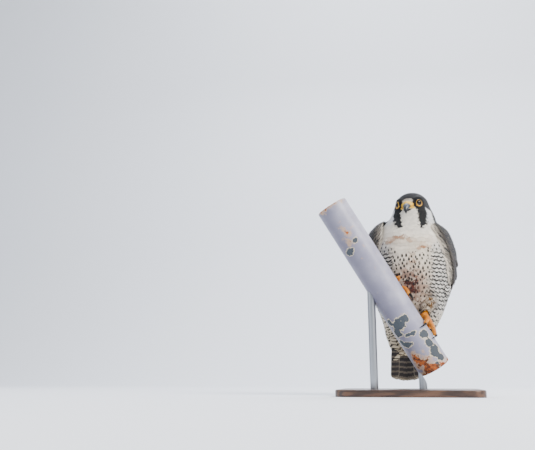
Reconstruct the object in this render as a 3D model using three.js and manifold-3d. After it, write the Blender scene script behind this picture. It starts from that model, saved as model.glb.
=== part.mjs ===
// A life-size peregrine falcon, perched on a short cut length of painted steel spar on a plain display
// stand. Units are millimetres and +Z is up. The origin is the middle of the stand base's underside. The
// bird faces -Y. Its own middle plane is x = 0 in the bird frame, and BIRD_AT moves that frame over the
// base.
import * as THREE from "three";
import { mergeVertices } from "three/addons/utils/BufferGeometryUtils.js";
import Module from "manifold-3d";

// Driving dimensions
const GAP = 0.35; // clearance between neighbouring nodes
const BIRD_AT = [15, 10, 0]; // the bird frame's origin, from the middle of the base
const HEAD_YAW = 15; // degrees, the head's turn to its own right
const HEAD_PITCH = 4; // degrees, the head bowed to look down
const HEAD_AT = [5, -21, 347]; // middle of the head at the height of the eyes
const EYE = { radius: 8.6, out: 15.8, forward: 21.4, up: 0, gaze: 46 };
const LID = { wall: 1.9, reach: 5.4, opening: 7.9, rim: 1.15 };
const SPAR = { radius: 28.5, length: 338, slope: 59.7, depthSlope: 10, end: [29.9, -36.6, 48.6] };
const BASE = { length: 250, depth: 190, thickness: 12, bevel: 2.5, corner: 22, middle: [-15, -10] };
const ROD_RADIUS = 7;
const ROD_STATIONS = { front: 42, back: 208 }; // distance up the spar, from its lower end
const TAIL = {
  root: 96, tip: 26, rootY: 41, tipY: 66, rootX: -18, tipX: -20.5, halfWidth: 30, thickness: 9,
  featherWidth: 15, top: 2.2, step: 1.2,
};
const TAIL_PLACES = [0.11, 0.34, 0.5, 0.66, 0.83, 1]; // the feathers of one side, as shares of the half width
const WING = { top: 322, coreEnd: 118, depth: 17 };
const VANE = { root: 1, tip: 0.75, camber: 0.2, tipCut: 0.035 }; // thickness, rise and the tip's rounding
const BACK_EDGE = { from: 80, limit: 89 }; // degrees round the back where a wing closes up, and its limit
const LEFT_FOOT = { station: 84, around: 13 };
const RIGHT_FOOT = { station: 156, around: 44 };
const FOOT_ROOM = 1.3; // clearance of a foot in the belly feathers
const SPAR_ROOM = 1; // clearance of the spar in the belly feathers
const CLAW = { sink: -2.5, arch: 3, thick: 2.4, thin: 0.6 }; // a root's place in its toe, rise and radii
const BALL = { radius: 6.6, out: 7.6 }; // the ball of the foot, and its distance off the spar
const ANKLE = { out: 24, behind: 30, above: 30 }; // from the foot's ball, and out from the middle plane
const TARSUS_START = 9; // distance off the spar where a shank begins
const TARSUS_RADII = [4.9, 4.1, 3.9, 4.0, 4.4, 5.2];
const THIGH_RADII = [7, 12, 16, 19, 21, 22, 20];
const THIGH = { cuff: 0.34, out: 30, y: 8, rise: 42 }; // the cuff's place up the shank, and the top
const CERE_EDGE = 34.5; // where the cere meets the horn, forward of the head's axis
const NOSTRIL = { radius: 1.5, out: 8.8, forward: 32, up: 1 };

// The toes' reach along the spar and round it in degrees, their thickness and arch, and their claws'
// length and reach.
const LEFT_TOES = [
  {
    name: "hind", along: 7, around: 52, thick: 4.4, thin: 3.5, arch: 1.5,
    claw: { length: 17, along: 1, around: 34 },
  },
  {
    name: "inner", along: -9, around: -48, thick: 4.4, thin: 3.4, arch: 2.5,
    claw: { length: 14, along: 0, around: -26 },
  },
  {
    name: "middle", along: -37, around: -26, thick: 4.6, thin: 3.3, arch: 3.5,
    claw: { length: 15, along: 1, around: -30 },
  },
  {
    name: "outer", along: -25, around: 10, thick: 4.2, thin: 3.2, arch: 2.5,
    claw: { length: 13, along: -12, around: -8 },
  },
];
const RIGHT_TOES = [
  {
    name: "hind", along: 9, around: 42, thick: 4.4, thin: 3.5, arch: 1.5,
    claw: { length: 17, along: 3, around: 32 },
  },
  {
    name: "inner", along: -33, around: -8, thick: 4.4, thin: 3.4, arch: 2.5,
    claw: { length: 14, along: -13, around: -6 },
  },
  {
    name: "middle", along: -26, around: -34, thick: 4.6, thin: 3.3, arch: 3,
    claw: { length: 16, along: -13, around: -17 },
  },
  {
    name: "outer", along: 14, around: -34, thick: 4.2, thin: 3.2, arch: 2,
    claw: { length: 13, along: 4, around: -22 },
  },
];

// The plumage's outline as level rings from the tail coverts up to the crown. Each row holds the ring's
// height, its middle in x and y, its forward tilt in degrees, its half width, and its reach in front of
// and behind the middle.
const BODY_RINGS = [
  [78, -19, 50, 0, 24, 3.5, 4.5],
  [92, -18, 43, 0, 31, 9, 9.5],
  [110, -13.5, 35, 0, 40, 21, 19],
  [130, -8, 26.5, 0, 49, 33, 29],
  [150, -5.5, 19, 0, 57.5, 43, 37],
  [170, -5, 12.5, 0, 62.5, 48.5, 43],
  [188, -3, 7.5, 0, 64, 52.5, 47],
  [207, -1.5, 2.5, 0, 66.5, 55.5, 51],
  [229, -1, -2, 0, 68.8, 58, 54],
  [250, -1.5, -4, 0, 69.5, 58.5, 54.5],
  [270, -2, -6, 0, 67, 56, 52],
  [288, -2.5, -7, 0.5, 62, 50.5, 47],
  [300, -2.5, -8.5, 1, 57, 46, 43],
  [309, -1, -10.5, 2, 51.5, 42.5, 39.5],
  [316, 1, -13, 3, 46.5, 40, 37],
  [323, 3.5, -16, 4, 42, 37, 34],
];
// The head's rings, as height above the eyes along the bowed head's own axis, half width, and reach in
// front and behind.
const HEAD_RINGS = [
  [-15, 37, 34, 31.5],
  [-8, 33.8, 33.6, 30.5],
  [0, 30.8, 33.2, 30],
  [8, 28, 30.6, 28],
  [15, 22.8, 25.2, 23.5],
  [20, 16.2, 18.2, 17.2],
  [22.8, 9.2, 10.5, 10],
  [23.9, 0, 0, 0],
];
// The folded wings' outer surface, as level half rings: height, middle in x and y, half width, reach in
// front and behind, and the angles of its leading and trailing edges, from straight sideways (0) to
// straight back (90).
const WING_RINGS = [
  [322, -7, -8, 47, 37, 37, -8, 42],
  [315, -8, -8, 58, 45, 44, -24, 48],
  [304, -6, -7, 69, 54, 51, -32, 56],
  [291, -4.5, -6, 75, 58, 56, -33, 61],
  [275, -3, -5, 79, 61, 59, -31, 66],
  [257, -1.5, -3, 81.5, 63, 62, -27, 73],
  [232, -1, -1, 81.5, 63, 63, -20, 80],
  [207, -1.5, 4, 78, 60, 62, -12, 86],
  [188, -3, 9, 71, 54, 59, -1, 87],
  [168, -6, 15, 66, 48, 55, 11, 87],
  [150, -6, 21, 58, 43, 50, 19, 86],
  [130, -8, 26, 50, 37, 43, 25, 85],
  [108, -12.5, 32, 42, 30, 36, 31, 84],
  [85, -16.5, 39, 34, 23, 29, 38, 82],
  [60, -19, 48.5, 26, 15, 21, 46, 78],
  [42, -20, 55, 20, 10, 15, 54, 72],
];

const wasm = await Module();
wasm.setup();
const radians = (degrees) => (degrees * Math.PI) / 180;
const mix = (a, b, t) => a + (b - a) * t;
const vector = (p) => new THREE.Vector3(p[0], p[1], p[2]);
const outBy = (value, distance) => value + distance * Math.sign(value);

// Solids

// A closed solid from points and triangles, turned to face outwards.
function solidFrom(points, triangles) {
  const build = (list) =>
    new wasm.Manifold(
      new wasm.Mesh({
        numProp: 3,
        vertProperties: new Float32Array(points.flat()),
        triVerts: new Uint32Array(list.flat()),
      }),
    );
  const made = build(triangles);
  return made.volume() > 0 ? made : build(triangles.map(([a, b, c]) => [a, c, b]));
}

// A closed solid from a three.js geometry placed by a matrix.
function solidOf(geometry, matrix = new THREE.Matrix4()) {
  const plain = geometry.clone().applyMatrix4(matrix);
  plain.deleteAttribute("normal");
  plain.deleteAttribute("uv");
  const merged = mergeVertices(plain, 1e-3);
  const vertProperties = new Float32Array(merged.attributes.position.array);
  return new wasm.Manifold(
    new wasm.Mesh({ numProp: 3, vertProperties, triVerts: new Uint32Array(merged.index.array) }),
  );
}

// A solid through closed rings of equal length, with flat ends. An end ring of no size becomes one point.
function ringSolid(rings) {
  const points = [];
  const triangles = [];
  const index = rings.map((ring) => {
    const spread = Math.max(...ring.map((p) => Math.hypot(...p.map((v, k) => v - ring[0][k]))));
    if (spread < 1e-6) return Array(ring.length).fill(points.push(ring[0]) - 1);
    return ring.map((p) => points.push(p) - 1);
  });
  const add = (a, b, c) => {
    if (a !== b && b !== c && a !== c) triangles.push([a, b, c]);
  };
  for (let i = 0; i + 1 < index.length; i += 1) {
    for (let j = 0; j < index[i].length; j += 1) {
      const k = (j + 1) % index[i].length;
      add(index[i][j], index[i][k], index[i + 1][k]);
      add(index[i][j], index[i + 1][k], index[i + 1][j]);
    }
  }
  const cap = (loop, reversed) => {
    for (let j = 1; j + 1 < loop.length; j += 1) {
      if (reversed) add(loop[0], loop[j + 1], loop[j]);
      else add(loop[0], loop[j], loop[j + 1]);
    }
  };
  cap(index[0], true);
  cap(index[index.length - 1], false);
  return solidFrom(points, triangles);
}

// A solid between two grids of points of the same size, both split into triangles alike, with walls round
// the rim.
function plateSolid(outer, inner) {
  const rows = outer.length;
  const columns = outer[0].length;
  const points = [...outer.flat(), ...inner.flat()];
  const at = (side, i, j) => side * rows * columns + i * columns + j;
  const triangles = [];
  for (let i = 0; i + 1 < rows; i += 1) {
    for (let j = 0; j + 1 < columns; j += 1) {
      const [a, b, c, d] = [[i, j], [i + 1, j], [i + 1, j + 1], [i, j + 1]].map(([r, s]) => at(0, r, s));
      const shift = rows * columns;
      triangles.push([a, b, c], [a, c, d]);
      triangles.push([a + shift, c + shift, b + shift], [a + shift, d + shift, c + shift]);
    }
  }
  const rim = [];
  for (let j = 0; j < columns; j += 1) rim.push([0, j]);
  for (let i = 1; i < rows; i += 1) rim.push([i, columns - 1]);
  for (let j = columns - 2; j >= 0; j -= 1) rim.push([rows - 1, j]);
  for (let i = rows - 2; i > 0; i -= 1) rim.push([i, 0]);
  rim.forEach(([i, j], n) => {
    const [k, l] = rim[(n + 1) % rim.length];
    triangles.push([at(0, i, j), at(0, k, l), at(1, k, l)], [at(0, i, j), at(1, k, l), at(1, i, j)]);
  });
  return solidFrom(points, triangles);
}

const joined = (solids) => solids.reduce((sum, next) => sum.add(next));
const bigger = (a, b) => (b.volume() > a.volume() ? b : a);
const largest = (solid) => solid.decompose().reduce(bigger);

// A box from low to high corner.
function block(low, high) {
  const size = high.map((v, k) => v - low[k]);
  const middle = high.map((v, k) => (v + low[k]) / 2);
  return solidOf(new THREE.BoxGeometry(...size), new THREE.Matrix4().makeTranslation(...middle));
}

// A tube of changing radius through points, closed at both ends. The last radius may be 0. Growing it by
// an amount thickens it and carries its ends on by as much.
function taperedTube(points, radii, sides, grow = 0) {
  const path = points.map(vector);
  const last = path.length - 1;
  path[0].addScaledVector(path[0].clone().sub(path[1]).normalize(), grow);
  path[last].addScaledVector(path[last].clone().sub(path[last - 1]).normalize(), grow);
  let across = new THREE.Vector3(0.31, 0.87, 0.41);
  const rings = path.map((p, i) => {
    const along = path[Math.min(i + 1, last)].clone().sub(path[Math.max(i - 1, 0)]).normalize();
    const radius = radii[i] > 0 ? radii[i] + grow : 0;
    across = across.clone().addScaledVector(along, -across.dot(along)).normalize();
    const up = along.clone().cross(across);
    return Array.from({ length: sides }, (_, j) => {
      const turn = (2 * Math.PI * j) / sides;
      const q = p.clone().addScaledVector(across, radius * Math.cos(turn));
      return q.addScaledVector(up, radius * Math.sin(turn)).toArray();
    });
  });
  return ringSolid(rings);
}

// A straight tube from one point to another, with its radii at even steps between them.
function straightTube(from, to, radii, sides, grow) {
  const points = radii.map((_, n) => from.clone().lerp(to, n / (radii.length - 1)).toArray());
  return taperedTube(points, radii, sides, grow);
}

// Tables of rings

// The row of a table at a place counted in rows, eased through its neighbours.
function rowAt(table, place) {
  const i = Math.min(Math.max(Math.floor(place), 0), table.length - 2);
  const t = place - i;
  const [a, b, c, d] = [i - 1, i, i + 1, i + 2].map((k) => table[Math.min(Math.max(k, 0), table.length - 1)]);
  return b.map((v, k) => {
    const start = (c[k] - a[k]) / 2;
    const end = (d[k] - v) / 2;
    const rise = c[k] - v;
    return v + t * (start + t * (3 * rise - 2 * start - end + t * (start + end - 2 * rise)));
  });
}

// The row of a table at a height, for tables whose first column is the height.
function rowAtHeight(table, height) {
  let low = 0;
  let high = table.length - 1;
  const rising = table[high][0] > table[0][0];
  for (let n = 0; n < 24; n += 1) {
    const middle = (low + high) / 2;
    if (rowAt(table, middle)[0] < height === rising) low = middle;
    else high = middle;
  }
  return rowAt(table, (low + high) / 2);
}

// Body

const headRows = HEAD_RINGS.map(([up, width, front, back]) => {
  const lean = radians(HEAD_PITCH);
  const [x, y, z] = HEAD_AT;
  return [z + up * Math.cos(lean), x, y - up * Math.sin(lean), HEAD_PITCH, width, front, back];
});
const bodyTable = [...BODY_RINGS, ...headRows];

// How far the head's turn has come at a height, from 0 at the base of the neck to 1 at the head.
const turnShare = (height) => THREE.MathUtils.smoothstep(height, 303, 334);

// One ring of the plumage's outline, grown by an amount all round.
function bodyRing(place, sides, grow) {
  const [height, x, y, tilt, width, front, back] = rowAt(bodyTable, place);
  const yaw = -radians(HEAD_YAW) * turnShare(height);
  const closed = width < 1e-6;
  return Array.from({ length: sides }, (_, j) => {
    const turn = (2 * Math.PI * j) / sides;
    const across = closed ? 0 : (width + grow) * Math.cos(turn);
    const reach = closed ? 0 : ((Math.sin(turn) > 0 ? back : front) + grow) * Math.sin(turn);
    const p = new THREE.Vector3(across, reach, 0);
    p.applyAxisAngle(new THREE.Vector3(1, 0, 0), radians(tilt));
    p.applyAxisAngle(new THREE.Vector3(0, 0, 1), yaw);
    return [p.x + x, p.y + y, p.z + height + (closed ? grow : 0)];
  });
}

// The whole plumage from tail coverts to crown.
function bodySolid(sides, perRow, grow = 0) {
  const last = bodyTable.length - 1;
  const steps = Math.round(last * perRow);
  const rings = Array.from({ length: steps + 1 }, (_, n) => bodyRing((n * last) / steps, sides, grow));
  if (grow > 0) rings[0] = rings[0].map(([x, y, z]) => [x, y, z - grow]);
  return ringSolid(rings);
}

// The part of a solid between two heights.
const between = (solid, low, high) => solid.intersect(block([-200, -200, low], [200, 200, high]));

// Head

const headMatrix = new THREE.Matrix4()
  .makeTranslation(...HEAD_AT)
  .multiply(new THREE.Matrix4().makeRotationZ(-radians(HEAD_YAW)))
  .multiply(new THREE.Matrix4().makeRotationX(radians(HEAD_PITCH)));
const inHead = (x, y, z) => new THREE.Vector3(x, y, z).applyMatrix4(headMatrix).toArray();

// The middle of an eyeball, and the way it looks, for side -1 or 1.
function eyeFrame(side) {
  const gaze = radians(EYE.gaze);
  return {
    middle: new THREE.Vector3(side * EYE.out, -EYE.forward, EYE.up),
    look: new THREE.Vector3(side * Math.sin(gaze), -Math.cos(gaze), 0.03).normalize(),
  };
}

function eyeball(side, grow = 0) {
  const p = inHead(...eyeFrame(side).middle.toArray());
  const ball = new THREE.SphereGeometry(EYE.radius + grow, 14, 8);
  return solidOf(ball, new THREE.Matrix4().makeTranslation(...p));
}

// The lids round an eye: a low cup that stands out of the head round the ball, with a rounded rim.
function eyelids(side) {
  const { middle, look } = eyeFrame(side);
  const place = (distance) => {
    const turn = new THREE.Quaternion().setFromUnitVectors(new THREE.Vector3(0, 0, 1), look);
    const local = new THREE.Matrix4().compose(
      middle.clone().addScaledVector(look, distance), turn, new THREE.Vector3(1, 1, 1),
    );
    return headMatrix.clone().multiply(local);
  };
  const cup = solidOf(new THREE.SphereGeometry(EYE.radius + LID.wall, 12, 6), place(0));
  const front = solidOf(new THREE.BoxGeometry(30, 30, 10), place(LID.reach + 5));
  const rim = solidOf(new THREE.TorusGeometry(LID.opening, LID.rim, 5, 12), place(LID.reach - 0.4));
  return cup.subtract(front).add(rim);
}

// The bony ridge over an eye, as forward reach, distance out, height and thickness, from the lores to
// behind the eye.
const BROW_ROWS = [
  [-25, 8, 3.5, 1],
  [-24.5, 13.5, 7, 3],
  [-19.5, 18.2, 9, 3.8],
  [-12, 21.5, 8.6, 3.4],
  [-3, 23, 7, 1],
];

function browRidge(side) {
  return taperedTube(
    BROW_ROWS.map(([y, x, z]) => inHead(side * x, y, z)),
    BROW_ROWS.map((row) => row[3]),
    8,
  );
}

// The upper bill's middle line from the forehead to the hooked tip, as forward reach, height, half width
// and half height.
const BILL_ROWS = [
  [-26, -2.4, 8.6, 7.3],
  [-28.8, -2.6, 10.6, 7.5],
  [-32, -3.3, 10.4, 7.3],
  [-35.5, -4.2, 8.6, 6.7],
  [-39.5, -6, 7, 6],
  [-43, -9, 5.2, 5],
  [-45.4, -12.8, 3.4, 3.9],
  [-46.3, -16.6, 1.8, 2.3],
  [-46, -20, 0, 0],
];
const LOWER_BILL_ROWS = [
  [-24, -11.6, 10.8, 3.4],
  [-28, -12, 10.8, 3.4],
  [-32, -12.6, 8.8, 3.2],
  [-37, -13.2, 6.2, 2.8],
  [-41, -13.4, 3, 1.8],
  [-42.6, -13.4, 0, 0],
];

// The upper bill and cere as one horn: a narrow arch above and flat cutting edges below, with a notch
// behind the tip.
function upperBill(grow = 0) {
  const sides = 14;
  const rings = [];
  const steps = 16;
  for (let n = 0; n <= steps; n += 1) {
    const place = (n * (BILL_ROWS.length - 1)) / steps;
    const [y, z, halfWidth, halfHeight] = rowAt(BILL_ROWS, place);
    const [nextY, nextZ] = rowAt(BILL_ROWS, Math.min(place + 0.05, BILL_ROWS.length - 1));
    const [lastY, lastZ] = rowAt(BILL_ROWS, Math.max(place - 0.05, 0));
    const along = Math.atan2(nextZ - lastZ, -(nextY - lastY));
    const ends = n === steps ? 0 : 1;
    rings.push(
      Array.from({ length: sides }, (_, j) => {
        const a = (2 * Math.PI * (j + 0.5)) / sides;
        const flat = Math.sin(a) < 0 ? 0.78 : 1;
        const across = ends * outBy(halfWidth * Math.cos(a), grow);
        const rise = ends * outBy(halfHeight * flat * Math.sin(a), grow);
        const back = n === 0 ? grow : 0;
        return inHead(across, y + back - rise * Math.sin(-along), z + rise * Math.cos(along));
      }),
    );
  }
  return ringSolid(rings);
}

// The lower bill: a shallow scoop that closes up under the cutting edges of the upper one.
function lowerBill(grow = 0) {
  const rows = LOWER_BILL_ROWS;
  const sides = 12;
  const steps = 8;
  const rings = Array.from({ length: steps + 1 }, (_, n) => {
    const [y, z, halfWidth, halfHeight] = rowAt(rows, (n * (rows.length - 1)) / steps);
    const ends = n === steps ? 0 : 1;
    return Array.from({ length: sides }, (_, j) => {
      const a = (2 * Math.PI * (j + 0.5)) / sides;
      const flat = Math.sin(a) > 0 ? 0.35 : 1;
      const back = n === 0 ? grow : 0;
      const rise = ends * outBy(halfHeight * flat * Math.sin(a), grow);
      return inHead(ends * outBy(halfWidth * Math.cos(a), grow), y + back, z + rise);
    });
  });
  return ringSolid(rings);
}

// All space in front of the cere's edge, brought back by a clearance.
function beyondCere(clearance) {
  const size = 60;
  const shift = new THREE.Matrix4().makeTranslation(0, clearance - CERE_EDGE - size / 2, 0);
  return solidOf(new THREE.BoxGeometry(size, size, size), headMatrix.clone().multiply(shift));
}

// The round nostrils, to be cut into the cere.
function nostrils() {
  return joined(
    [-1, 1].map((side) => {
      const p = inHead(side * NOSTRIL.out, -NOSTRIL.forward, NOSTRIL.up);
      const ball = new THREE.SphereGeometry(NOSTRIL.radius, 10, 8);
      return solidOf(ball, new THREE.Matrix4().makeTranslation(...p));
    }),
  );
}

// Spar and stand

const slope = radians(SPAR.slope);
const depthSlope = radians(SPAR.depthSlope);
const sparEnd = vector(SPAR.end);
const sparUp = new THREE.Vector3(
  -Math.cos(slope) * Math.cos(depthSlope), -Math.sin(depthSlope), Math.sin(slope) * Math.cos(depthSlope),
);
const sparSide = new THREE.Vector3(Math.sin(slope), 0, Math.cos(slope));
const sparBack = sparUp.clone().cross(sparSide).normalize().multiplyScalar(-1);
if (sparBack.y < 0) sparBack.multiplyScalar(-1);

// A point by its distance up the spar, its angle round it from the upper side towards the back, and its
// distance out.
function onSpar(station, around, out) {
  const p = sparEnd.clone().addScaledVector(sparUp, station);
  p.addScaledVector(sparSide, out * Math.cos(radians(around)));
  return p.addScaledVector(sparBack, out * Math.sin(radians(around)));
}

function sparSolid(grow = 0) {
  const chamfer = 2;
  const sections = [
    [-grow, SPAR.radius - chamfer + grow],
    [chamfer - grow, SPAR.radius + grow],
    [SPAR.length - chamfer + grow, SPAR.radius + grow],
    [SPAR.length + grow, SPAR.radius - chamfer + grow],
  ];
  const sides = 36;
  return ringSolid(
    sections.map(([station, out]) =>
      Array.from({ length: sides }, (_, j) => onSpar(station, (360 * j) / sides, out).toArray()),
    ),
  );
}

function baseSolid() {
  const { length, depth, thickness, bevel, corner, middle } = BASE;
  const shape = new THREE.Shape();
  const [w, d] = [length / 2 - bevel, depth / 2 - bevel];
  const r = corner - bevel;
  shape.moveTo(-w + r, -d);
  shape.lineTo(w - r, -d);
  shape.absarc(w - r, -d + r, r, -Math.PI / 2, 0);
  shape.lineTo(w, d - r);
  shape.absarc(w - r, d - r, r, 0, Math.PI / 2);
  shape.lineTo(-w + r, d);
  shape.absarc(-w + r, d - r, r, Math.PI / 2, Math.PI);
  shape.lineTo(-w, -d + r);
  shape.absarc(-w + r, -d + r, r, Math.PI, 1.5 * Math.PI);
  const points = shape.extractPoints(5).shape;
  const outline = points.filter((p, i) => p.distanceTo(points[(i + 1) % points.length]) > 1e-6);
  const ring = (height, out) =>
    outline.map((p, i) => {
      const before = outline[(i + outline.length - 1) % outline.length];
      const after = outline[(i + 1) % outline.length];
      const normal = new THREE.Vector2(after.y - before.y, before.x - after.x).normalize();
      return [p.x + normal.x * out + middle[0], p.y + normal.y * out + middle[1], height];
    });
  return ringSolid([ring(0, bevel), ring(thickness - bevel, bevel), ring(thickness, 0)]);
}

// An upright rod from the base to the underside of the spar, at a distance up the spar.
function rodSolid(station) {
  const axis = sparEnd.clone().addScaledVector(sparUp, station);
  const foot = BASE.thickness + GAP;
  const rod = new THREE.CylinderGeometry(ROD_RADIUS, ROD_RADIUS, axis.z - foot, 24);
  const upright = new THREE.Matrix4().makeTranslation(axis.x, axis.y, (axis.z + foot) / 2);
  upright.multiply(new THREE.Matrix4().makeRotationX(Math.PI / 2));
  return solidOf(rod, upright).subtract(sparSolid(GAP));
}

// Feet

// A toe that grips the spar: its middle line runs along and round the spar, arched a little off it.
function toePath(foot, toe, count, clearance) {
  return Array.from({ length: count + 1 }, (_, n) => {
    const t = n / count;
    const station = foot.station + mix(0, toe.along, t);
    const around = foot.around + mix(0, toe.around, t);
    const radius = mix(toe.thick, toe.thin, t);
    const lift = toe.arch * Math.sin(Math.PI * Math.min(1, t * 1.06)) + mix(3.2, 0, Math.min(1, 2.5 * t));
    const point = onSpar(station, around, SPAR.radius + clearance + 1.06 * radius + lift);
    return { point, radius, station, around };
  });
}

function toeSolid(foot, toe, grow = 0, count = 5) {
  const path = toePath(foot, toe, count, GAP);
  const knuckles = path.map(({ radius }, i) => radius * (i % 2 ? 0.92 : 1.06));
  const points = path.map(({ point }) => point);
  const tip = points[count].clone().multiplyScalar(1.25).addScaledVector(points[count - 1], -0.25);
  const radii = [...knuckles, toe.thin * 0.6];
  return taperedTube([...points, tip].map((point) => point.toArray()), radii, 6, grow);
}

// The curved claw at the end of a toe, arching out and down until its tip nearly meets the spar.
function clawSolid(foot, toe, grow = 0, count = 5) {
  const last = toePath(foot, toe, 12, GAP)[12];
  const sweep = radians(toe.claw.around) * SPAR.radius;
  const size = Math.hypot(toe.claw.along, sweep);
  const points = [];
  const radii = [];
  for (let n = 0; n <= count; n += 1) {
    const t = n / count;
    const reach = mix(CLAW.sink, toe.claw.length, t) / size;
    const station = last.station + toe.claw.along * reach;
    const around = last.around + toe.claw.around * reach;
    const height = mix(last.radius + GAP, GAP, t ** 1.4) + CLAW.arch * Math.sin(Math.PI * t ** 0.9);
    points.push(onSpar(station, around, SPAR.radius + height + GAP).toArray());
    radii.push(n === count ? 0 : mix(CLAW.thick, CLAW.thin, t));
  }
  return taperedTube(points, radii, 6, grow);
}

// The ball of the foot, where the toes meet.
function ballOfFoot(foot, grow = 0) {
  const p = onSpar(foot.station, foot.around, SPAR.radius + BALL.out);
  const ball = new THREE.SphereGeometry(BALL.radius + grow, 8, 6);
  return solidOf(ball, new THREE.Matrix4().makeTranslation(...p.toArray()));
}

// The ankle, hidden in the feathers above a foot.
function ankleOf(foot, side) {
  const p = onSpar(foot.station, foot.around, SPAR.radius + BALL.out);
  return new THREE.Vector3(side * ANKLE.out, p.y + ANKLE.behind, p.z + ANKLE.above);
}

function tarsusSolid(foot, side, grow = 0) {
  const bottom = onSpar(foot.station, foot.around, SPAR.radius + TARSUS_START);
  return straightTube(bottom, ankleOf(foot, side), TARSUS_RADII, 8, grow);
}

// The feathered thigh, from inside the belly's outline to a narrow cuff above the foot.
function thighSolid(foot, side, grow = 0) {
  const shank = onSpar(foot.station, foot.around, SPAR.radius + TARSUS_START);
  const bottom = shank.lerp(ankleOf(foot, side), THIGH.cuff);
  const top = new THREE.Vector3(side * THIGH.out, THIGH.y, bottom.z + THIGH.rise);
  return straightTube(bottom, top, THIGH_RADII, 12, grow);
}

// Wings

// A point of a folded wing's outer surface, at a height, an angle round the body, and a distance out of
// the surface.
function onWing(side, height, around, out) {
  const [, x, y, width, front, back] = rowAtHeight(WING_RINGS, height);
  const a = radians(around);
  const reach = (a > 0 ? back : front) + out;
  return [x + side * (width + out) * Math.cos(a), y + reach * Math.sin(a), height];
}

// The angle round the body of a place across the folded wing, from 0 at the leading edge to 1 at the
// trailing edge, and a distance across from there. Near the middle of the back it closes up so the two
// wings never meet.
function acrossWing(height, share, distance) {
  const [, , , width, front, back, lead, trail] = rowAtHeight(WING_RINGS, height);
  const plain = mix(lead, trail, share);
  const turn = radians(plain);
  const reach = plain > 0 ? back : front;
  const perDegree = radians(Math.hypot(width * Math.sin(turn), reach * Math.cos(turn)));
  const wanted = plain + distance / perDegree;
  const over = wanted - BACK_EDGE.from;
  if (over <= 0) return wanted;
  const room = BACK_EDGE.limit - BACK_EDGE.from;
  return BACK_EDGE.from + (room * over) / (room + over);
}

// The solid of a folded wing that its feathers grow from, from the shoulder down to where the flight
// feathers run free.
function wingCore(side) {
  const rows = 8;
  const columns = 4;
  const sheet = (inner) =>
    Array.from({ length: rows + 1 }, (_, i) => {
      const height = mix(WING.top, WING.coreEnd, i / rows);
      const thick = WING.depth * mix(0.2, 1, THREE.MathUtils.smoothstep(height, WING.coreEnd, 180));
      const depth = thick * mix(0.35, 1, THREE.MathUtils.smoothstep(WING.top - height, 0, 18));
      return Array.from({ length: columns + 1 }, (_, j) => {
        const q = (2 * j) / columns - 1;
        const low = -0.3 - 1.4 * q ** 8 - 0.8 * THREE.MathUtils.smoothstep(230 - height, 0, 90);
        const out = inner ? -depth * (1 - 0.6 * q ** 6) : low;
        return onWing(side, height, acrossWing(height, 0.5 + 0.5 * q, 0), out);
      });
    });
  return plateSolid(sheet(false), sheet(true));
}

// A width along a feather, narrow at the root, full at the middle and rounded at the tip.
function feather(t, roundness) {
  const swell = mix(0.6, 1, THREE.MathUtils.smoothstep(t, 0, 0.4));
  const end = Math.max(0, (t - roundness) / (1 - roundness));
  return swell * Math.sqrt(Math.max(0.05, 1 - end * end));
}

// A feather's vane as a thin curved solid. The surface gives a point for a share of the way down it, a
// distance across and a distance out. One edge rides higher than the other, so neighbours lie like tiles.
function vane(surface, { width, low, high, roll, segments, roundness = 0.72 }) {
  const sheet = (drop) =>
    Array.from({ length: segments + 1 }, (_, i) => {
      const t = 1 - (1 - i / segments) ** 1.25;
      const half = (width / 2) * feather(t, roundness);
      return [-1, 0, 1].map((c) => {
        const cut = i === segments ? VANE.tipCut * c * c : 0;
        const top = mix(low, high, t) - roll * c + VANE.camber * (1 - c * c);
        return surface(t - cut, c * half, top - drop * mix(VANE.root, VANE.tip, t));
      });
    });
  return plateSolid(sheet(0), sheet(1));
}

// A small steady variation for one feather, from -1 to 1.
function vary(seed) {
  const spread = Math.sin(seed * 12.9898) * 43758.5453;
  return 2 * (spread - Math.floor(spread)) - 1;
}

// A feather of the folded wing, from its root to its tip, both as height and share across.
function wingFeather(side, seed, root, tip, shape) {
  const end = [tip[0] + 1.6 * vary(seed), tip[1] + 0.012 * vary(seed + 0.5)];
  const surface = (t, across, out) => {
    const height = mix(root[0], end[0], t);
    return onWing(side, height, acrossWing(height, mix(root[1], end[1], t), across), out);
  };
  return vane(surface, shape);
}

// The rows of wing feathers: their count, the root and tip of the first and last feather as height and
// share across, their width, how far out their roots and tips lie, and how far each feather lies above the
// one before.
const WING_TIERS = [
  {
    name: "primaries", count: 7, width: 17, low: -7.6, high: -5, step: 1.15, roll: 0.1, segments: 5,
    roots: [[190, 0.24], [190, 0.82]], tips: [[42, 0.46], [134, 0.84]],
  },
  {
    name: "secondaries", count: 7, width: 22, low: -2.6, high: 1.9, step: 0, roll: 1.3, segments: 3,
    roots: [[216, 0.27], [210, 0.9]], tips: [[184, 0.28], [146, 0.86]],
  },
  {
    name: "primary coverts", count: 2, width: 20, low: -2.6, high: 2.2, step: 0, roll: 0.9, segments: 3,
    roots: [[236, 0.06], [230, 0.22]], tips: [[176, 0.07], [186, 0.22]],
  },
  {
    name: "greater coverts", count: 5, width: 31, low: -2.8, high: 2.4, step: 0, roll: 1.2, segments: 3,
    roots: [[248, 0.17], [238, 0.9]], tips: [[214, 0.16], [192, 0.86]],
  },
  {
    name: "median coverts", count: 5, width: 32, low: -2.8, high: 2.4, step: 0, roll: 1.1, segments: 3,
    roots: [[282, 0.12], [274, 0.88]], tips: [[246, 0.1], [230, 0.86]],
  },
];

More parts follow.
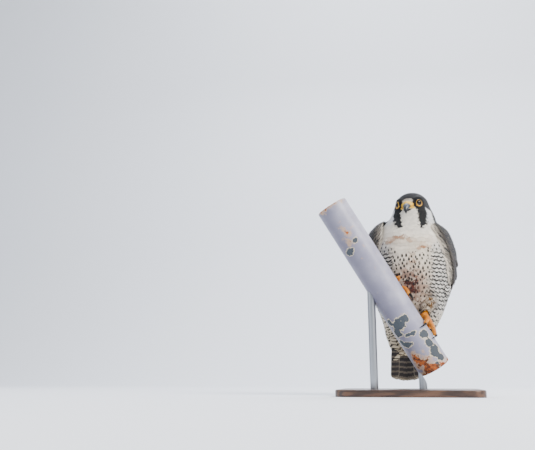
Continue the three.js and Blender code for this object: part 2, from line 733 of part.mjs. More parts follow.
// A whole folded wing with its flight feathers and coverts in tiers, each row's tips over the next row's
// roots.
function wingSolid(side) {
  const feathers = WING_TIERS.flatMap((tier, row) =>
    Array.from({ length: tier.count }, (_, k) => {
      const share = k / (tier.count - 1);
      const at = ([first, last]) => first.map((v, n) => mix(v, last[n], share));
      const lift = tier.step * k;
      return wingFeather(side, 10 * row + k + 1, at(tier.roots), at(tier.tips), {
        ...tier, low: tier.low + lift, high: tier.high + lift,
      });
    }),
  );
  return joined([wingCore(side), ...feathers]);
}

// Tail

// A point of the tail by its share of the way down, its distance across, and its distance behind the
// middle.
function onTail(down, across, behind) {
  const height = mix(TAIL.root, TAIL.tip, down);
  const bow = (-2.4 * across * across) / TAIL.halfWidth ** 2;
  const lean = Math.atan2(TAIL.tipY - TAIL.rootY, TAIL.root - TAIL.tip);
  const y = mix(TAIL.rootY, TAIL.tipY, down) + (behind + bow) * Math.cos(lean);
  return [mix(TAIL.rootX, TAIL.tipX, down) + across, y, height + (behind + bow) * Math.sin(lean)];
}

// The root of the tail, which its feathers grow from.
function tailCore() {
  const sheet = (sign) =>
    Array.from({ length: 5 }, (_, i) =>
      Array.from({ length: 7 }, (_, j) => {
        const q = j / 3 - 1;
        const thick = mix(TAIL.thickness, 1.6, i / 4) * (1 - 0.5 * q ** 4);
        return onTail(0.11 * i, q * (TAIL.halfWidth - 7), (sign * thick) / 2);
      }),
    );
  return plateSolid(sheet(1), sheet(-1));
}

// The tail with its feathers in pairs: the middle pair on top, and each outer one lower and a little
// shorter.
function tailSolid() {
  const feathers = [-1, 1].flatMap((side) =>
    TAIL_PLACES.map((place, pair) => {
      const length = 1 - 0.085 * place * place + 0.008 * vary(pair + 0.5 * side);
      const surface = (t, across, behind) => {
        const spread = mix(TAIL.halfWidth - 9, TAIL.halfWidth - TAIL.featherWidth / 2, t) * place * side;
        return onTail(mix(0.02, length, t), spread + across, behind);
      };
      const level = TAIL.top - TAIL.step * pair + (pair === 0 && side < 0 ? TAIL.step : 0);
      return vane(surface, {
        width: TAIL.featherWidth, low: level * 0.7, high: level, roll: 0, segments: 4, roundness: 0.82,
      });
    }),
  );
  return joined([tailCore(), ...feathers]);
}

// Materials

function finish(color, roughness, metalness = 0) {
  return new THREE.MeshStandardMaterial({ color, roughness, metalness });
}
const materials = {
  slate: finish(0x454951, 0.75),
  breast: finish(0xd9d3c4, 0.85),
  barred: finish(0x8c8a86, 0.8),
  flight: finish(0x3a3a3f, 0.7),
  yellowSkin: finish(0xe3a21a, 0.5),
  horn: finish(0x2b3038, 0.35),
  eye: finish(0x120d0b, 0.08),
  claw: finish(0x17161a, 0.3),
  paint: finish(0xc9c8d2, 0.45),
  wood: finish(0x3b2a20, 0.5),
  steel: finish(0x8b8e92, 0.35, 0.9),
};

// Assembly

const falcon = new THREE.Group();
falcon.position.set(...BIRD_AT);

function addNode(name, solid, material) {
  const kept = largest(solid);
  const mesh = kept.getMesh();
  const geometry = new THREE.BufferGeometry();
  const positions = new Float32Array(mesh.numVert * 3);
  for (let i = 0; i < mesh.numVert; i += 1) {
    positions.set(mesh.vertProperties.subarray(i * mesh.numProp, i * mesh.numProp + 3), i * 3);
  }
  geometry.setAttribute("position", new THREE.BufferAttribute(positions, 3));
  geometry.setIndex(new THREE.BufferAttribute(new Uint32Array(mesh.triVerts), 1));
  geometry.computeVertexNormals();
  const node = new THREE.Mesh(geometry, material);
  node.name = name;
  falcon.add(node);
}

const BODY_SIDES = 26;
const BODY_STEPS = 1; // rings to each row of the tables
const NECK_BOTTOM = 304;
const HEAD_BOTTOM = -22; // below the eyes, along the bowed head's own axis
const COVERT_TOP = 128;
const feet = [
  { name: "left", side: 1, foot: LEFT_FOOT, toes: LEFT_TOES, inBelly: false },
  { name: "right", side: -1, foot: RIGHT_FOOT, toes: RIGHT_TOES, inBelly: true },
];

const body = bodySolid(BODY_SIDES, BODY_STEPS);
const grownBody = bodySolid(BODY_SIDES, BODY_STEPS, GAP);
const grownSpar = sparSolid(GAP);
const sides = [{ name: "left", side: 1 }, { name: "right", side: -1 }];

// Head, bill and eyes
const lids = joined([eyelids(1), eyelids(-1)]);
const brows = joined([browRidge(1), browRidge(-1)]);
const overNeck = (clearance) => {
  const size = 120;
  const rise = new THREE.Matrix4().makeTranslation(0, 0, size / 2 + HEAD_BOTTOM + clearance);
  return solidOf(new THREE.BoxGeometry(size, size, size), headMatrix.clone().multiply(rise));
};
const headForm = body.intersect(overNeck(GAP)).add(lids).add(brows);
const grownEyes = joined([eyeball(1, GAP), eyeball(-1, GAP)]);
const lower = lowerBill().subtract(upperBill(GAP));
const head = headForm.subtract(grownEyes).subtract(upperBill(GAP)).subtract(lowerBill(GAP));
addNode("head", head, materials.slate);

addNode("cere", upperBill().subtract(beyondCere(GAP)).subtract(nostrils()), materials.yellowSkin);
addNode("bill_upper", upperBill().intersect(beyondCere(0)), materials.horn);
addNode("bill_lower", lower, materials.horn);
sides.forEach(({ name, side }) => addNode(`eye_${name}`, eyeball(side), materials.eye));

// Neck, torso and tail coverts
addNode("neck", between(body, NECK_BOTTOM + GAP / 2, 345).subtract(overNeck(0)), materials.breast);

// The room that a leg takes in the body: its shank, and all of the foot where it sits in the belly.
function roomForLeg({ foot, side, toes, inBelly }) {
  const shank = tarsusSolid(foot, side, GAP);
  if (!inBelly) return shank;
  const steps = 3;
  const toeRooms = toes.map((toe) => toeSolid(foot, toe, FOOT_ROOM, steps));
  const clawRooms = toes.map((toe) => clawSolid(foot, toe, FOOT_ROOM, steps));
  return joined([shank, ballOfFoot(foot, FOOT_ROOM), ...toeRooms, ...clawRooms]);
}
const grownThighs = joined(feet.map(({ foot, side }) => thighSolid(foot, side, GAP)));
const torso = between(body, COVERT_TOP + GAP / 2, NECK_BOTTOM - GAP / 2);
const legRoom = joined([grownThighs, ...feet.map(roomForLeg), sparSolid(SPAR_ROOM)]);
addNode("torso", torso.subtract(legRoom), materials.breast);
addNode("tail_coverts", between(body, 0, COVERT_TOP - GAP / 2).subtract(grownThighs), materials.barred);
addNode("tail", tailSolid().subtract(grownBody), materials.flight);

// Wings
sides.forEach(({ name, side }) => {
  addNode(`wing_${name}`, wingSolid(side).subtract(grownBody).subtract(grownThighs), materials.slate);
});

// Legs and feet
feet.forEach(({ name, side, foot, toes }) => {
  const leg = tarsusSolid(foot, side, GAP);
  const grownFoot = joined([ballOfFoot(foot, GAP), ...toes.map((toe) => toeSolid(foot, toe, GAP))]);
  const footAndSpar = joined([grownFoot, grownSpar]);
  addNode(`thigh_${name}`, thighSolid(foot, side).subtract(leg).subtract(footAndSpar), materials.breast);
  addNode(`tarsus_${name}`, tarsusSolid(foot, side).subtract(footAndSpar), materials.yellowSkin);
  const claws = joined(toes.map((toe) => clawSolid(foot, toe, GAP)));
  const footForm = joined([ballOfFoot(foot), ...toes.map((toe) => toeSolid(foot, toe))]);
  addNode(`foot_${name}`, footForm.subtract(claws), materials.yellowSkin);
  toes.forEach((toe) => {
    addNode(`claw_${name}_${toe.name}`, clawSolid(foot, toe), materials.claw);
  });
});

// Perch and stand
addNode("perch_spar", sparSolid(), materials.paint);
addNode("stand_base", baseSolid(), materials.wood);
addNode("stand_rod_front", rodSolid(ROD_STATIONS.front), materials.steel);
addNode("stand_rod_back", rodSolid(ROD_STATIONS.back), materials.steel);

export default falcon;
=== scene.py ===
"""A life-size peregrine falcon on a cut length of painted spar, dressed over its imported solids.

The body is one skin under a coat of small feathers, with the flight feathers of wings and tail laid over it in tiers.
Every surface is worked out in millimetres in the bird's own frame, from the same named sizes as the solids, and is
put down in metres. The bird faces -Y, and its own left side is towards +X.
"""

import logging
import math
from collections.abc import Callable
from dataclasses import dataclass, field
from enum import Enum
from functools import partial
from typing import Protocol

import bpy
import numpy as np
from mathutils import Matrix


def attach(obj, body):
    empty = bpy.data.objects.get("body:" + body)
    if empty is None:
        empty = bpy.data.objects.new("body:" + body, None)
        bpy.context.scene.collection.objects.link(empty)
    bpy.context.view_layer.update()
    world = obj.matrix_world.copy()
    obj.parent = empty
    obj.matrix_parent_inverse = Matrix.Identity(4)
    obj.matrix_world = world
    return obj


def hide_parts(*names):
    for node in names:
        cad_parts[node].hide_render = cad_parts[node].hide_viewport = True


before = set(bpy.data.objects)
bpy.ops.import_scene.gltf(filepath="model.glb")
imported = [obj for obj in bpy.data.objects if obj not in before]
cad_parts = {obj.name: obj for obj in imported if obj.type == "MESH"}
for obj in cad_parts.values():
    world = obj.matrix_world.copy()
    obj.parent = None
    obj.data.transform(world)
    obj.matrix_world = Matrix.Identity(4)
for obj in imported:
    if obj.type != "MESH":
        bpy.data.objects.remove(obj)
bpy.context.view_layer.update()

log = logging.getLogger("falcon")
Array = np.ndarray
Surface = Callable[[Array, Array, Array], Array]
Socket = bpy.types.NodeSocket
Adder = Callable[..., Socket]

# ---- Sizes of the bird, in millimetres and degrees, as in the solids

BIRD_AT = np.array([15.0, 10.0, 0.0])
HEAD_AT = np.array([5.0, -21.0, 347.0])
HEAD_YAW = 15.0
HEAD_PITCH = 4.0
# Level rings of the plumage: height, middle in x and y, forward tilt, half width, reach in front and behind.
BODY_RINGS = np.array([
    [78, -19, 50, 0, 24, 3.5, 4.5], [92, -18, 43, 0, 31, 9, 9.5], [110, -13.5, 35, 0, 40, 21, 19],
    [130, -8, 26.5, 0, 49, 33, 29], [150, -5.5, 19, 0, 57.5, 43, 37], [170, -5, 12.5, 0, 62.5, 48.5, 43],
    [188, -3, 7.5, 0, 64, 52.5, 47], [207, -1.5, 2.5, 0, 66.5, 55.5, 51], [229, -1, -2, 0, 68.8, 58, 54],
    [250, -1.5, -4, 0, 69.5, 58.5, 54.5], [270, -2, -6, 0, 67, 56, 52], [288, -2.5, -7, 0.5, 62, 50.5, 47],
    [300, -2.5, -8.5, 1, 57, 46, 43], [309, -1, -10.5, 2, 51.5, 42.5, 39.5], [316, 1, -13, 3, 46.5, 40, 37],
    [323, 3.5, -16, 4, 42, 37, 34],
])
# The head's rings: height above the eyes along the bowed head's own axis, half width, reach in front and behind.
HEAD_RINGS = np.array([
    [-15, 37, 34, 31.5], [-8, 33.8, 33.6, 30.5], [0, 30.8, 33.2, 30], [8, 28, 30.6, 28],
    [15, 22.8, 25.2, 23.5], [20, 16.2, 18.2, 17.2], [22.8, 9.2, 10.5, 10], [23.9, 0, 0, 0],
])
# Half rings of a folded wing: height, middle in x and y, half width, reach in front and behind, and the angles of
# its leading and trailing edges.
WING_RINGS = np.array([
    [322, -7, -8, 47, 37, 37, -8, 42], [315, -8, -8, 58, 45, 44, -24, 48], [304, -6, -7, 69, 54, 51, -32, 56],
    [291, -4.5, -6, 75, 58, 56, -33, 61], [275, -3, -5, 79, 61, 59, -31, 66], [257, -1.5, -3, 81.5, 63, 62, -27, 73],
    [232, -1, -1, 81.5, 63, 63, -20, 80], [207, -1.5, 4, 78, 60, 62, -12, 86], [188, -3, 9, 71, 54, 59, -1, 87],
    [168, -6, 15, 66, 48, 55, 11, 87], [150, -6, 21, 58, 43, 50, 19, 86], [130, -8, 26, 50, 37, 43, 25, 85],
    [108, -12.5, 32, 42, 30, 36, 31, 84], [85, -16.5, 39, 34, 23, 29, 38, 82], [60, -19, 48.5, 26, 15, 21, 46, 78],
    [42, -20, 55, 20, 10, 15, 54, 72],
])
# The brow's ridge line: distance out, reach forward and height.
BROW = np.array([[8, -25, 3.5], [13.5, -24.5, 7], [18.2, -19.5, 9], [21.5, -12, 8.6], [23, -3, 7]])
# The upper bill's middle line: reach forward, height, half width and half height; and the lower bill's.
UPPER_BILL = np.array([
    [-26, -2.4, 8.6, 7.3], [-28.8, -2.6, 10.6, 7.5], [-32, -3.3, 10.4, 7.3], [-35.5, -4.2, 8.6, 6.7],
    [-39.5, -6, 7, 6], [-43, -9, 5.2, 5], [-45.4, -12.8, 3.4, 3.9], [-46.3, -16.6, 1.8, 2.3], [-46, -20, 0, 0],
])
LOWER_BILL = np.array([
    [-24, -10.2, 10.8, 3.4], [-28, -10.4, 10.6, 3.4], [-32, -10.8, 8.6, 3.2], [-37, -11.2, 6.0, 2.8],
    [-41, -11.4, 2.8, 1.8], [-42.4, -11.4, 0, 0],
])


# ---- Numbers and colours


def smooth(value: Array, low: float, high: float) -> Array:
    """Eases from 0 below low to 1 above high."""
    share = np.clip((np.asarray(value, float) - low) / (high - low), 0, 1)
    return share * share * (3 - 2 * share)


def mix(a: Array, b: Array, share: Array) -> Array:
    """The value a share of the way from a to b."""
    return a + (b - a) * share


def blend(a: Array, b: Array, share: Array) -> Array:
    """Rows of points or colours, each a share of the way from a to b."""
    return a + (b - a) * np.asarray(share)[..., None]


def table(*columns: Array) -> Array:
    """Columns as rows of numbers. A plain number fills its whole column."""
    return np.stack(np.broadcast_arrays(*columns), -1)


def span(vectors: Array) -> Array:
    """The vectors' lengths."""
    return np.linalg.norm(vectors, axis=-1)


def unit(vectors: Array) -> Array:
    """Vectors brought to length 1."""
    return vectors / np.maximum(span(vectors)[..., None], 1e-9)


def pairs(a: Array, b: Array) -> tuple[Array, Array]:
    """Every pair of two rows of numbers, as two grids."""
    return np.meshgrid(a, b, indexing="ij")


def turns(count: int) -> Array:
    """Even angles all the way round."""
    return np.arange(count) * 2 * np.pi / count


def circle(a: Array, b: Array, turn: Array) -> Array:
    """Points at angles round the unit circle that two directions span."""
    return np.cos(turn)[..., None] * a + np.sin(turn)[..., None] * b


def linear(text: str) -> tuple[float, float, float]:
    """An sRGB hex colour as linear red, green and blue."""
    parts = [int(text[i:i + 2], 16) / 255 for i in (1, 3, 5)]
    return tuple(c / 12.92 if c <= 0.04045 else ((c + 0.055) / 1.055) ** 2.4 for c in parts)


def patchy(points: Array, size: float, seed: float) -> Array:
    """A soft uneven field from -1 to 1: the mean of five waves across the points, at turned angles.

    Args:
        points: places in millimetres.
        size: the patches' rough size in millimetres.
        seed: shifts the field.

    Returns:
        One value for each point.
    """
    turn = seed + np.arange(5) * 2.4
    ways = unit(table(np.cos(turn), np.sin(turn * 1.7), np.sin(turn)))
    phases = np.einsum("...k,wk->...w", points, ways) * (np.pi / size) * (1 + 0.23 * np.arange(5))
    return np.sin(phases + 3.1 * turn).mean(-1) * 1.6


def row_at(rows: Array, place: Array) -> Array:
    """The rows of a table at places counted in rows, eased through their neighbours by a cubic.

    Args:
        rows: the table.
        place: where to read, 0 at the first row.

    Returns:
        One row of numbers for each place.
    """
    last = len(rows) - 1
    start = np.clip(np.floor(place).astype(int), 0, last - 1)
    t = (place - start)[..., None]
    a, b, c, d = (rows[np.clip(start + k, 0, last)] for k in (-1, 0, 1, 2))
    begin, end, rise = (c - a) / 2, (d - b) / 2, c - b
    return b + t * (begin + t * (3 * rise - 2 * begin - end + t * (begin + end - 2 * rise)))


# ---- Forms that feathers lie on


class Form(Protocol):
    """A surface that points can be moved on to."""

    def settle(self, points: Array, out: Array = 0.0) -> Array:
        """Points moved onto the surface, and out by a distance."""


class Rings:
    """A table of level rings that can be read at any height."""

    def __init__(self, rows: Array) -> None:
        """Keeps the rows and works out which place in the table goes with each height."""
        self.rows = rows
        places = np.linspace(0, len(rows) - 1, 1601)
        heights = row_at(rows, places)[:, 0]
        order = np.argsort(heights)
        self.heights, self.places = heights[order], places[order]

    def at(self, height: Array) -> Array:
        """The ring's numbers at heights."""
        return row_at(self.rows, np.interp(height, self.heights, self.places))


# Both folded wings are read from the same rings.
WING = Rings(WING_RINGS)


class BodyForm:
    """The outline of the plumage from the tail coverts to the crown, as a stack of ellipses."""

    def __init__(self) -> None:
        """Joins the body's rings to the head's, which are bowed."""
        lean = math.radians(HEAD_PITCH)
        up, *sizes = HEAD_RINGS.T
        middle = HEAD_AT[2] + up * math.cos(lean), HEAD_AT[0], HEAD_AT[1] - up * math.sin(lean)
        self.rings = Rings(np.vstack([BODY_RINGS, table(*middle, HEAD_PITCH, *sizes)]))

    def yaw(self, height: Array) -> Array:
        """The turn of the rings at a height, which grows up the neck to the head's own."""
        return -math.radians(HEAD_YAW) * smooth(height, 303, 334)

    def point(self, height: Array, turn: Array, out: Array = 0.0) -> Array:
        """Points of the outline: an ellipse's point at an angle, tilted and turned, grown by a distance.

        Args:
            height: the ring's height.
            turn: the angle round the ring, 0 at the bird's left and -90 degrees in front, in radians.
            out: the distance outside the outline.

        Returns:
            The points.
        """
        row = self.rings.at(height)
        across = (row[..., 4] + out) * np.cos(turn)
        reach = (np.where(np.sin(turn) > 0, row[..., 6], row[..., 5]) + out) * np.sin(turn)
        tilt, yaw = np.radians(row[..., 3]), self.yaw(height)
        level = reach * np.cos(tilt)
        x = row[..., 1] + across * np.cos(yaw) - level * np.sin(yaw)
        y = row[..., 2] + across * np.sin(yaw) + level * np.cos(yaw)
        return table(x, y, height + reach * np.sin(tilt))

    def polar(self, points: Array) -> tuple[Array, Array, Array]:
        """Where points lie among the rings, by stepping twice to the height of the tilted ring that holds each.

        Args:
            points: places anywhere.

        Returns:
            The ring height, the angle round it and the share of its radius.
        """
        height = points[..., 2]
        row = self.rings.at(height)
        for _ in range(2):
            height = points[..., 2] - (points[..., 1] - row[..., 2]) * np.tan(np.radians(row[..., 3]))
            row = self.rings.at(height)
        yaw = self.yaw(height)
        dx, dy = points[..., 0] - row[..., 1], points[..., 1] - row[..., 2]
        across = (dx * np.cos(yaw) + dy * np.sin(yaw)) / np.maximum(row[..., 4], 0.5)
        reach = -dx * np.sin(yaw) + dy * np.cos(yaw)
        reach = reach / np.maximum(np.where(reach > 0, row[..., 6], row[..., 5]), 0.5)
        return height, np.arctan2(reach, across), np.hypot(across, reach)

    def settle(self, points: Array, out: Array = 0.0) -> Array:
        """Points moved onto the outline at their own height and angle, and out by a distance."""
        height, turn, _ = self.polar(points)
        return self.point(height, turn, out)


class HeadForm:
    """The head as its own middle sees it: how far the surface lies in every direction, with brows over the eyes."""

    def __init__(self, body: BodyForm) -> None:
        """Finds the distances on a grid of directions by halving, then adds the brows.

        Args:
            body: the form whose top rings the head has.
        """
        yaw, lean = -math.radians(HEAD_YAW), math.radians(HEAD_PITCH)
        turn = np.array([[math.cos(yaw), -math.sin(yaw), 0], [math.sin(yaw), math.cos(yaw), 0], [0, 0, 1]])
        bow = np.array([[1, 0, 0], [0, math.cos(lean), -math.sin(lean)], [0, math.sin(lean), math.cos(lean)]])
        self.axes = turn @ bow
        self.step = math.radians(2)
        ways = self.way(*pairs(np.arange(-90, 91) * self.step, np.arange(-35, 46) * self.step))
        low, high = np.full(ways.shape[:2], 5.0), np.full(ways.shape[:2], 75.0)
        for _ in range(22):
            middle = (low + high) / 2
            height, _, share = body.polar(self.placed(ways * middle[..., None]))
            inside = (share < 1) & (height < HEAD_AT[2] + HEAD_RINGS[-1, 0])
            low, high = np.where(inside, middle, low), np.where(inside, high, middle)
        self.grid = low + self.relief(ways * low[..., None])

    @staticmethod
    def way(azimuth: Array, rise: Array) -> Array:
        """Directions by azimuth from the bill towards the bird's left, and by rise."""
        return table(np.sin(azimuth) * np.cos(rise), -np.cos(azimuth) * np.cos(rise), np.sin(rise))

    @staticmethod
    def relief(local: Array) -> Array:
        """How far the brows, the cheeks and the hollow before the eyes stand out: rounded bumps along their lines.

        Args:
            local: places in the head's own frame.

        Returns:
            A distance for each.
        """
        local = table(np.abs(local[..., 0]), local[..., 1], local[..., 2])
        gap = np.full(local.shape[:-1], 1e9)
        for a, b in zip(BROW[:-1], BROW[1:]):
            share = np.clip(((local - a) @ (b - a)) / ((b - a) @ (b - a)), 0, 1)
            gap = np.minimum(gap, span(local - (a + share[..., None] * (b - a))))
        lores = span((local - [13.5, -29, -1]) / [3.5, 5, 4.5])
        cheek = span((local - [27, -16, -15]) / [9, 13, 8])
        return 3.0 * np.exp(-(gap / 3.4) ** 2) - 1.5 * np.exp(-lores ** 2) + 0.9 * np.exp(-cheek ** 2)

    def placed(self, local: Array) -> Array:
        """Points of the head's own frame as points of the bird's frame."""
        return local @ self.axes.T + HEAD_AT

    def local(self, points: Array) -> Array:
        """Points of the bird's frame as points of the head's own frame."""
        return (points - HEAD_AT) @ self.axes

    def settle(self, points: Array, out: Array = 0.0) -> Array:
        """Points moved along their line from the head's middle onto its surface, read between the grid's points.

        Args:
            points: the points.
            out: the distance outside the surface.

        Returns:
            The points on the surface.
        """
        ways = unit(self.local(points))
        azimuth, rise = np.arctan2(ways[..., 0], -ways[..., 1]), np.arcsin(np.clip(ways[..., 2], -1, 1))
        u = np.clip(azimuth / self.step + 90, 0, 179.999)
        v = np.clip(rise / self.step + 35, 0, 79.999)
        i, j = u.astype(int), v.astype(int)
        near, far = (mix(self.grid[i, k], self.grid[i + 1, k], u - i) for k in (j, j + 1))
        return self.placed(ways * (mix(near, far, v - j) + out)[..., None])


class PlumageForm:
    """Body and head as one surface."""

    def __init__(self) -> None:
        """Makes both forms."""
        self.body = BodyForm()
        self.head = HeadForm(self.body)

    def settle(self, points: Array, out: Array = 0.0) -> Array:
        """Points moved onto the surface, by level rings on the body and from the head's middle on the head."""
        share = smooth(points[..., 2], 321, 331)
        return blend(self.body.settle(points, out), self.head.settle(points, out), share)


@dataclass(frozen=True)
class WingForm:
    """The outer surface of one folded wing. Its side is 1 for the bird's left and -1 for its right."""

    side: int

    def point(self, height: Array, around: Array, out: Array = 0.0) -> Array:
        """Points by height, angle from straight sideways (0) to straight back, and distance out."""
        row = WING.at(height)
        reach = np.where(around > 0, row[..., 5], row[..., 4]) + out
        x = row[..., 1] + self.side * (row[..., 3] + out) * np.cos(around)
        return table(x, row[..., 2] + reach * np.sin(around), height)

    def across(self, height: Array, share: Array, distance: Array = 0.0) -> Array:
        """The angle of a share from the leading to the trailing edge, and a distance on from there.

        The distance is turned to degrees by the ellipse's own arc length, and the angle closes up near the middle of
        the back, so that the two wings lie side by side.

        Args:
            height: the height.
            share: the share of the way across.
            distance: the distance on from there.

        Returns:
            The angle in radians.
        """
        row = WING.at(height)
        plain = mix(row[..., 6], row[..., 7], share)
        turn = np.radians(plain)
        reach = np.where(plain > 0, row[..., 5], row[..., 4])
        wanted = plain + distance / np.radians(np.hypot(row[..., 3] * np.sin(turn), reach * np.cos(turn)))
        over = np.maximum(wanted - 80, 0)
        return np.radians(np.where(wanted > 80, 80 + 9 * over / (9 + over), wanted))

    def settle(self, points: Array, out: Array = 0.0) -> Array:
        """Points moved onto the wing's outline at their own height and angle, and out by a distance."""
        row = WING.at(points[..., 2])
        back = points[..., 1] - row[..., 2]
        back = back / np.where(back > 0, row[..., 5], row[..., 4])
        around = np.arctan2(back, self.side * (points[..., 0] - row[..., 1]) / row[..., 3])
        return self.point(points[..., 2], around, out)

    def feather(self, roots: Array, tips: Array) -> Surface:
        """The surface that feathers are laid in: from each root to its tip, both as height and share across."""
        def surface(t: Array, distance: Array, out: Array) -> Array:
            """Points by share along, distance across and distance out."""
            height, share = (mix(roots[:, k, None, None], tips[:, k, None, None], t) for k in (0, 1))
            return self.point(height, self.across(height, share, distance), out)
        return surface


@dataclass(frozen=True)
class BackForm:
    """The mantle: it runs from the nape out to the level of the wings, and bridges the hollow between them."""

    body: BodyForm

    def settle(self, points: Array, out: Array = 0.0) -> Array:
        """Points moved onto the body's outline at the nape, and onto the wings' from the shoulders down.

        Args:
            points: the points.
            out: the distance outside the surface.

        Returns:
            The points on the surface.
        """
        height, turn, _ = self.body.polar(points)
        row = WING.at(height)
        reach = np.where(np.sin(turn) > 0, row[..., 5], row[..., 4]) + out
        x = row[..., 1] * np.abs(np.tanh(np.cos(turn) * 6)) + (row[..., 3] + out) * np.cos(turn)
        wing = table(x, row[..., 2] + reach * np.sin(turn), height)
        return blend(wing, self.body.settle(points, out), smooth(height, 290, 331))


@dataclass(frozen=True)
class ShankForm:
    """A straight tapering limb between two points, with its radii at even steps."""

    start: Array
    end: Array
    radii: tuple[float, ...]

    def radius(self, share: Array) -> Array:
        """The radius at shares of the length."""
        return np.interp(share, np.linspace(0, 1, len(self.radii)), self.radii)

    def settle(self, points: Array, out: Array = 0.0) -> Array:
        """Points moved straight out from the limb's axis onto its surface, and out by a distance."""
        length = span(self.end - self.start)
        axis = (self.end - self.start) / length
        along = (points - self.start) @ axis
        foot = self.start + along[..., None] * axis
        return foot + unit(points - foot) * (self.radius(along / length) + out)[..., None]


# ---- Meshes


# The kind of mesh attribute, and the name of its value, by how many numbers each point has.
ATTRIBUTES = {1: ("FLOAT", "value"), 3: ("FLOAT_VECTOR", "vector"), 4: ("FLOAT_COLOR", "color")}


def quads(rows: int, columns: int, around: bool = False, along: bool = False) -> Array:
    """The faces of a grid of points, counted row by row.

    Args:
        rows: the number of rows.
        columns: the number of points in a row.
        around: joins the last column to the first.
        along: joins the last row to the first.

    Returns:
        Four corners for each face.
    """
    i, j = pairs(np.arange(rows - 1 + along), np.arange(columns - 1 + around))
    below, k = (i + 1) % rows * columns, (j + 1) % columns
    return table(i * columns + j, i * columns + k, below + k, below + j).reshape(-1, 4)


def many(faces: Array, vertices: int, count: int) -> Array:
    """The faces of one small shape repeated for many shapes of the same number of vertices."""
    return (faces[None] + (np.arange(count) * vertices)[:, None, None]).reshape(-1, faces.shape[-1])


@dataclass
class MeshParts:
    """Points with faces, and named values and a place on the unwrap at the points."""

    points: Array
    faces: list[Array]
    values: dict[str, Array] = field(default_factory=dict)
    patch: Array | None = None

    def put(self, name: str, crease: float | None = None, flat: bool = False) -> bpy.types.Object:
        """Makes an object with its place in its mesh.

        Args:
            name: the object's name.
            crease: edges sharper than this many degrees stay sharp; None smooths all.
            flat: whether the faces are shaded one by one.

        Returns:
            The object, linked to the scene.
        """
        mesh = bpy.data.meshes.new(name)
        corners = np.concatenate([f.reshape(-1) for f in self.faces])
        counts = np.concatenate([np.full(len(f), f.shape[1]) for f in self.faces])
        mesh.vertices.add(len(self.points))
        mesh.vertices.foreach_set("co", ((self.points + BIRD_AT) / 1000).astype(np.float32).ravel())
        mesh.loops.add(len(corners))
        mesh.loops.foreach_set("vertex_index", corners.astype(np.int32))
        mesh.polygons.add(len(counts))
        mesh.polygons.foreach_set("loop_start", (np.cumsum(counts) - counts).astype(np.int32))
        mesh.update(calc_edges=True)
        for key, value in self.values.items():
            kind, slot = ATTRIBUTES[1 if value.ndim == 1 else value.shape[-1]]
            mesh.attributes.new(key, kind, "POINT").data.foreach_set(slot, value.astype(np.float32).ravel())
        if self.patch is not None:
            uv = self.patch[corners].astype(np.float32).ravel()
            mesh.uv_layers.new(name="OFBake").data.foreach_set("uv", uv)
        mesh.polygons.foreach_set("use_smooth", np.full(len(counts), not flat))
        if crease is not None:
            mesh.set_sharp_from_angle(angle=math.radians(crease))
        mesh.update()
        made = bpy.data.objects.new(name, mesh)
        bpy.context.scene.collection.objects.link(made)
        return made

    def enter(self, name: str, slot: str, finish: bpy.types.Material, *nodes: str, **shading: object) -> None:
        """Puts a piece in the model: its finish, the body it rides on and the solids it stands for.

        Args:
            name: the piece's name.
            slot: not used.
            finish: its material.
            nodes: the solids it stands for.
            shading: crease or flat, as for its object.
        """
        piece = self.put(name, **shading)
        piece.data.materials.append(finish)
        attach(piece, "root")
        if nodes:
            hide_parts(*nodes)
        log.info("%s: %d faces", name, len(piece.data.polygons))


def joined(parts: list[MeshParts]) -> MeshParts:
    """Several meshes as one. All must carry the same named values."""
    shifts = np.cumsum([0] + [len(p.points) for p in parts[:-1]])
    faces = [f + shift for p, shift in zip(parts, shifts) for f in p.faces]
    values = {k: np.concatenate([p.values[k] for p in parts]) for k in parts[0].values}
    patch = None if parts[0].patch is None else np.concatenate([p.patch for p in parts])
    return MeshParts(np.concatenate([p.points for p in parts]), faces, values, patch)


def closed_grid(points: Array, **values: Array) -> MeshParts:
    """A closed tube from a grid of rings. Each end ring is closed by a fan round its middle point.

    Args:
        points: rings of points.
        values: named values at the points, which the middle points take from their rings' means.

    Returns:
        The mesh.
    """
    rows, columns = points.shape[:2]
    flat = np.concatenate([points.reshape(-1, 3), points[:1].mean(1), points[-1:].mean(1)])
    j = np.arange(columns)
    k, last = (j + 1) % columns, (rows - 1) * columns
    fans = [table(rows * columns, k, j), table(rows * columns + 1, last + j, last + k)]
    kept = {}
    for key, value in values.items():
        value = np.broadcast_to(value, (rows, columns)).ravel()
        kept[key] = np.append(value, [value[:columns].mean(), value[-columns:].mean()])
    return MeshParts(flat, [quads(rows, columns, around=True), *fans], kept)


def tube(path: Array, radii: Array, outward: Array, sides: int, swell: Array = 0.0) -> Array:
    """Rings round a path: its point, plus the radius times the cosine sideways and the sine outwards.

    Args:
        path: the middle line.
        radii: its radius at each point.
        outward: the direction of each ring's top.
        sides: the number of points in a ring.
        swell: what is added to the radius at each point of each ring.

    Returns:
        The grid of points.
    """
    along = unit(np.gradient(path, axis=0))
    side = unit(np.cross(along, outward))
    ring = circle(side[:, None], unit(np.cross(side, along))[:, None], turns(sides)[None])
    return path[:, None] + (radii[:, None] + swell)[..., None] * ring


# ---- Feathers


@dataclass
class Lay:
    """Feathers' sizes, tints, marks and places on the unwrap, and where they stand and how they lie."""

    length: Array
    width: Array
    tint: Array
    marks: Array
    patch: Array
    roots: Array | None = None
    along: Array | None = None
    sideways: Array | None = None

    def kept(self, keep: Array) -> "Lay":
        """Only the chosen feathers."""
        return Lay(*(getattr(self, name)[keep] for name in self.__dataclass_fields__))


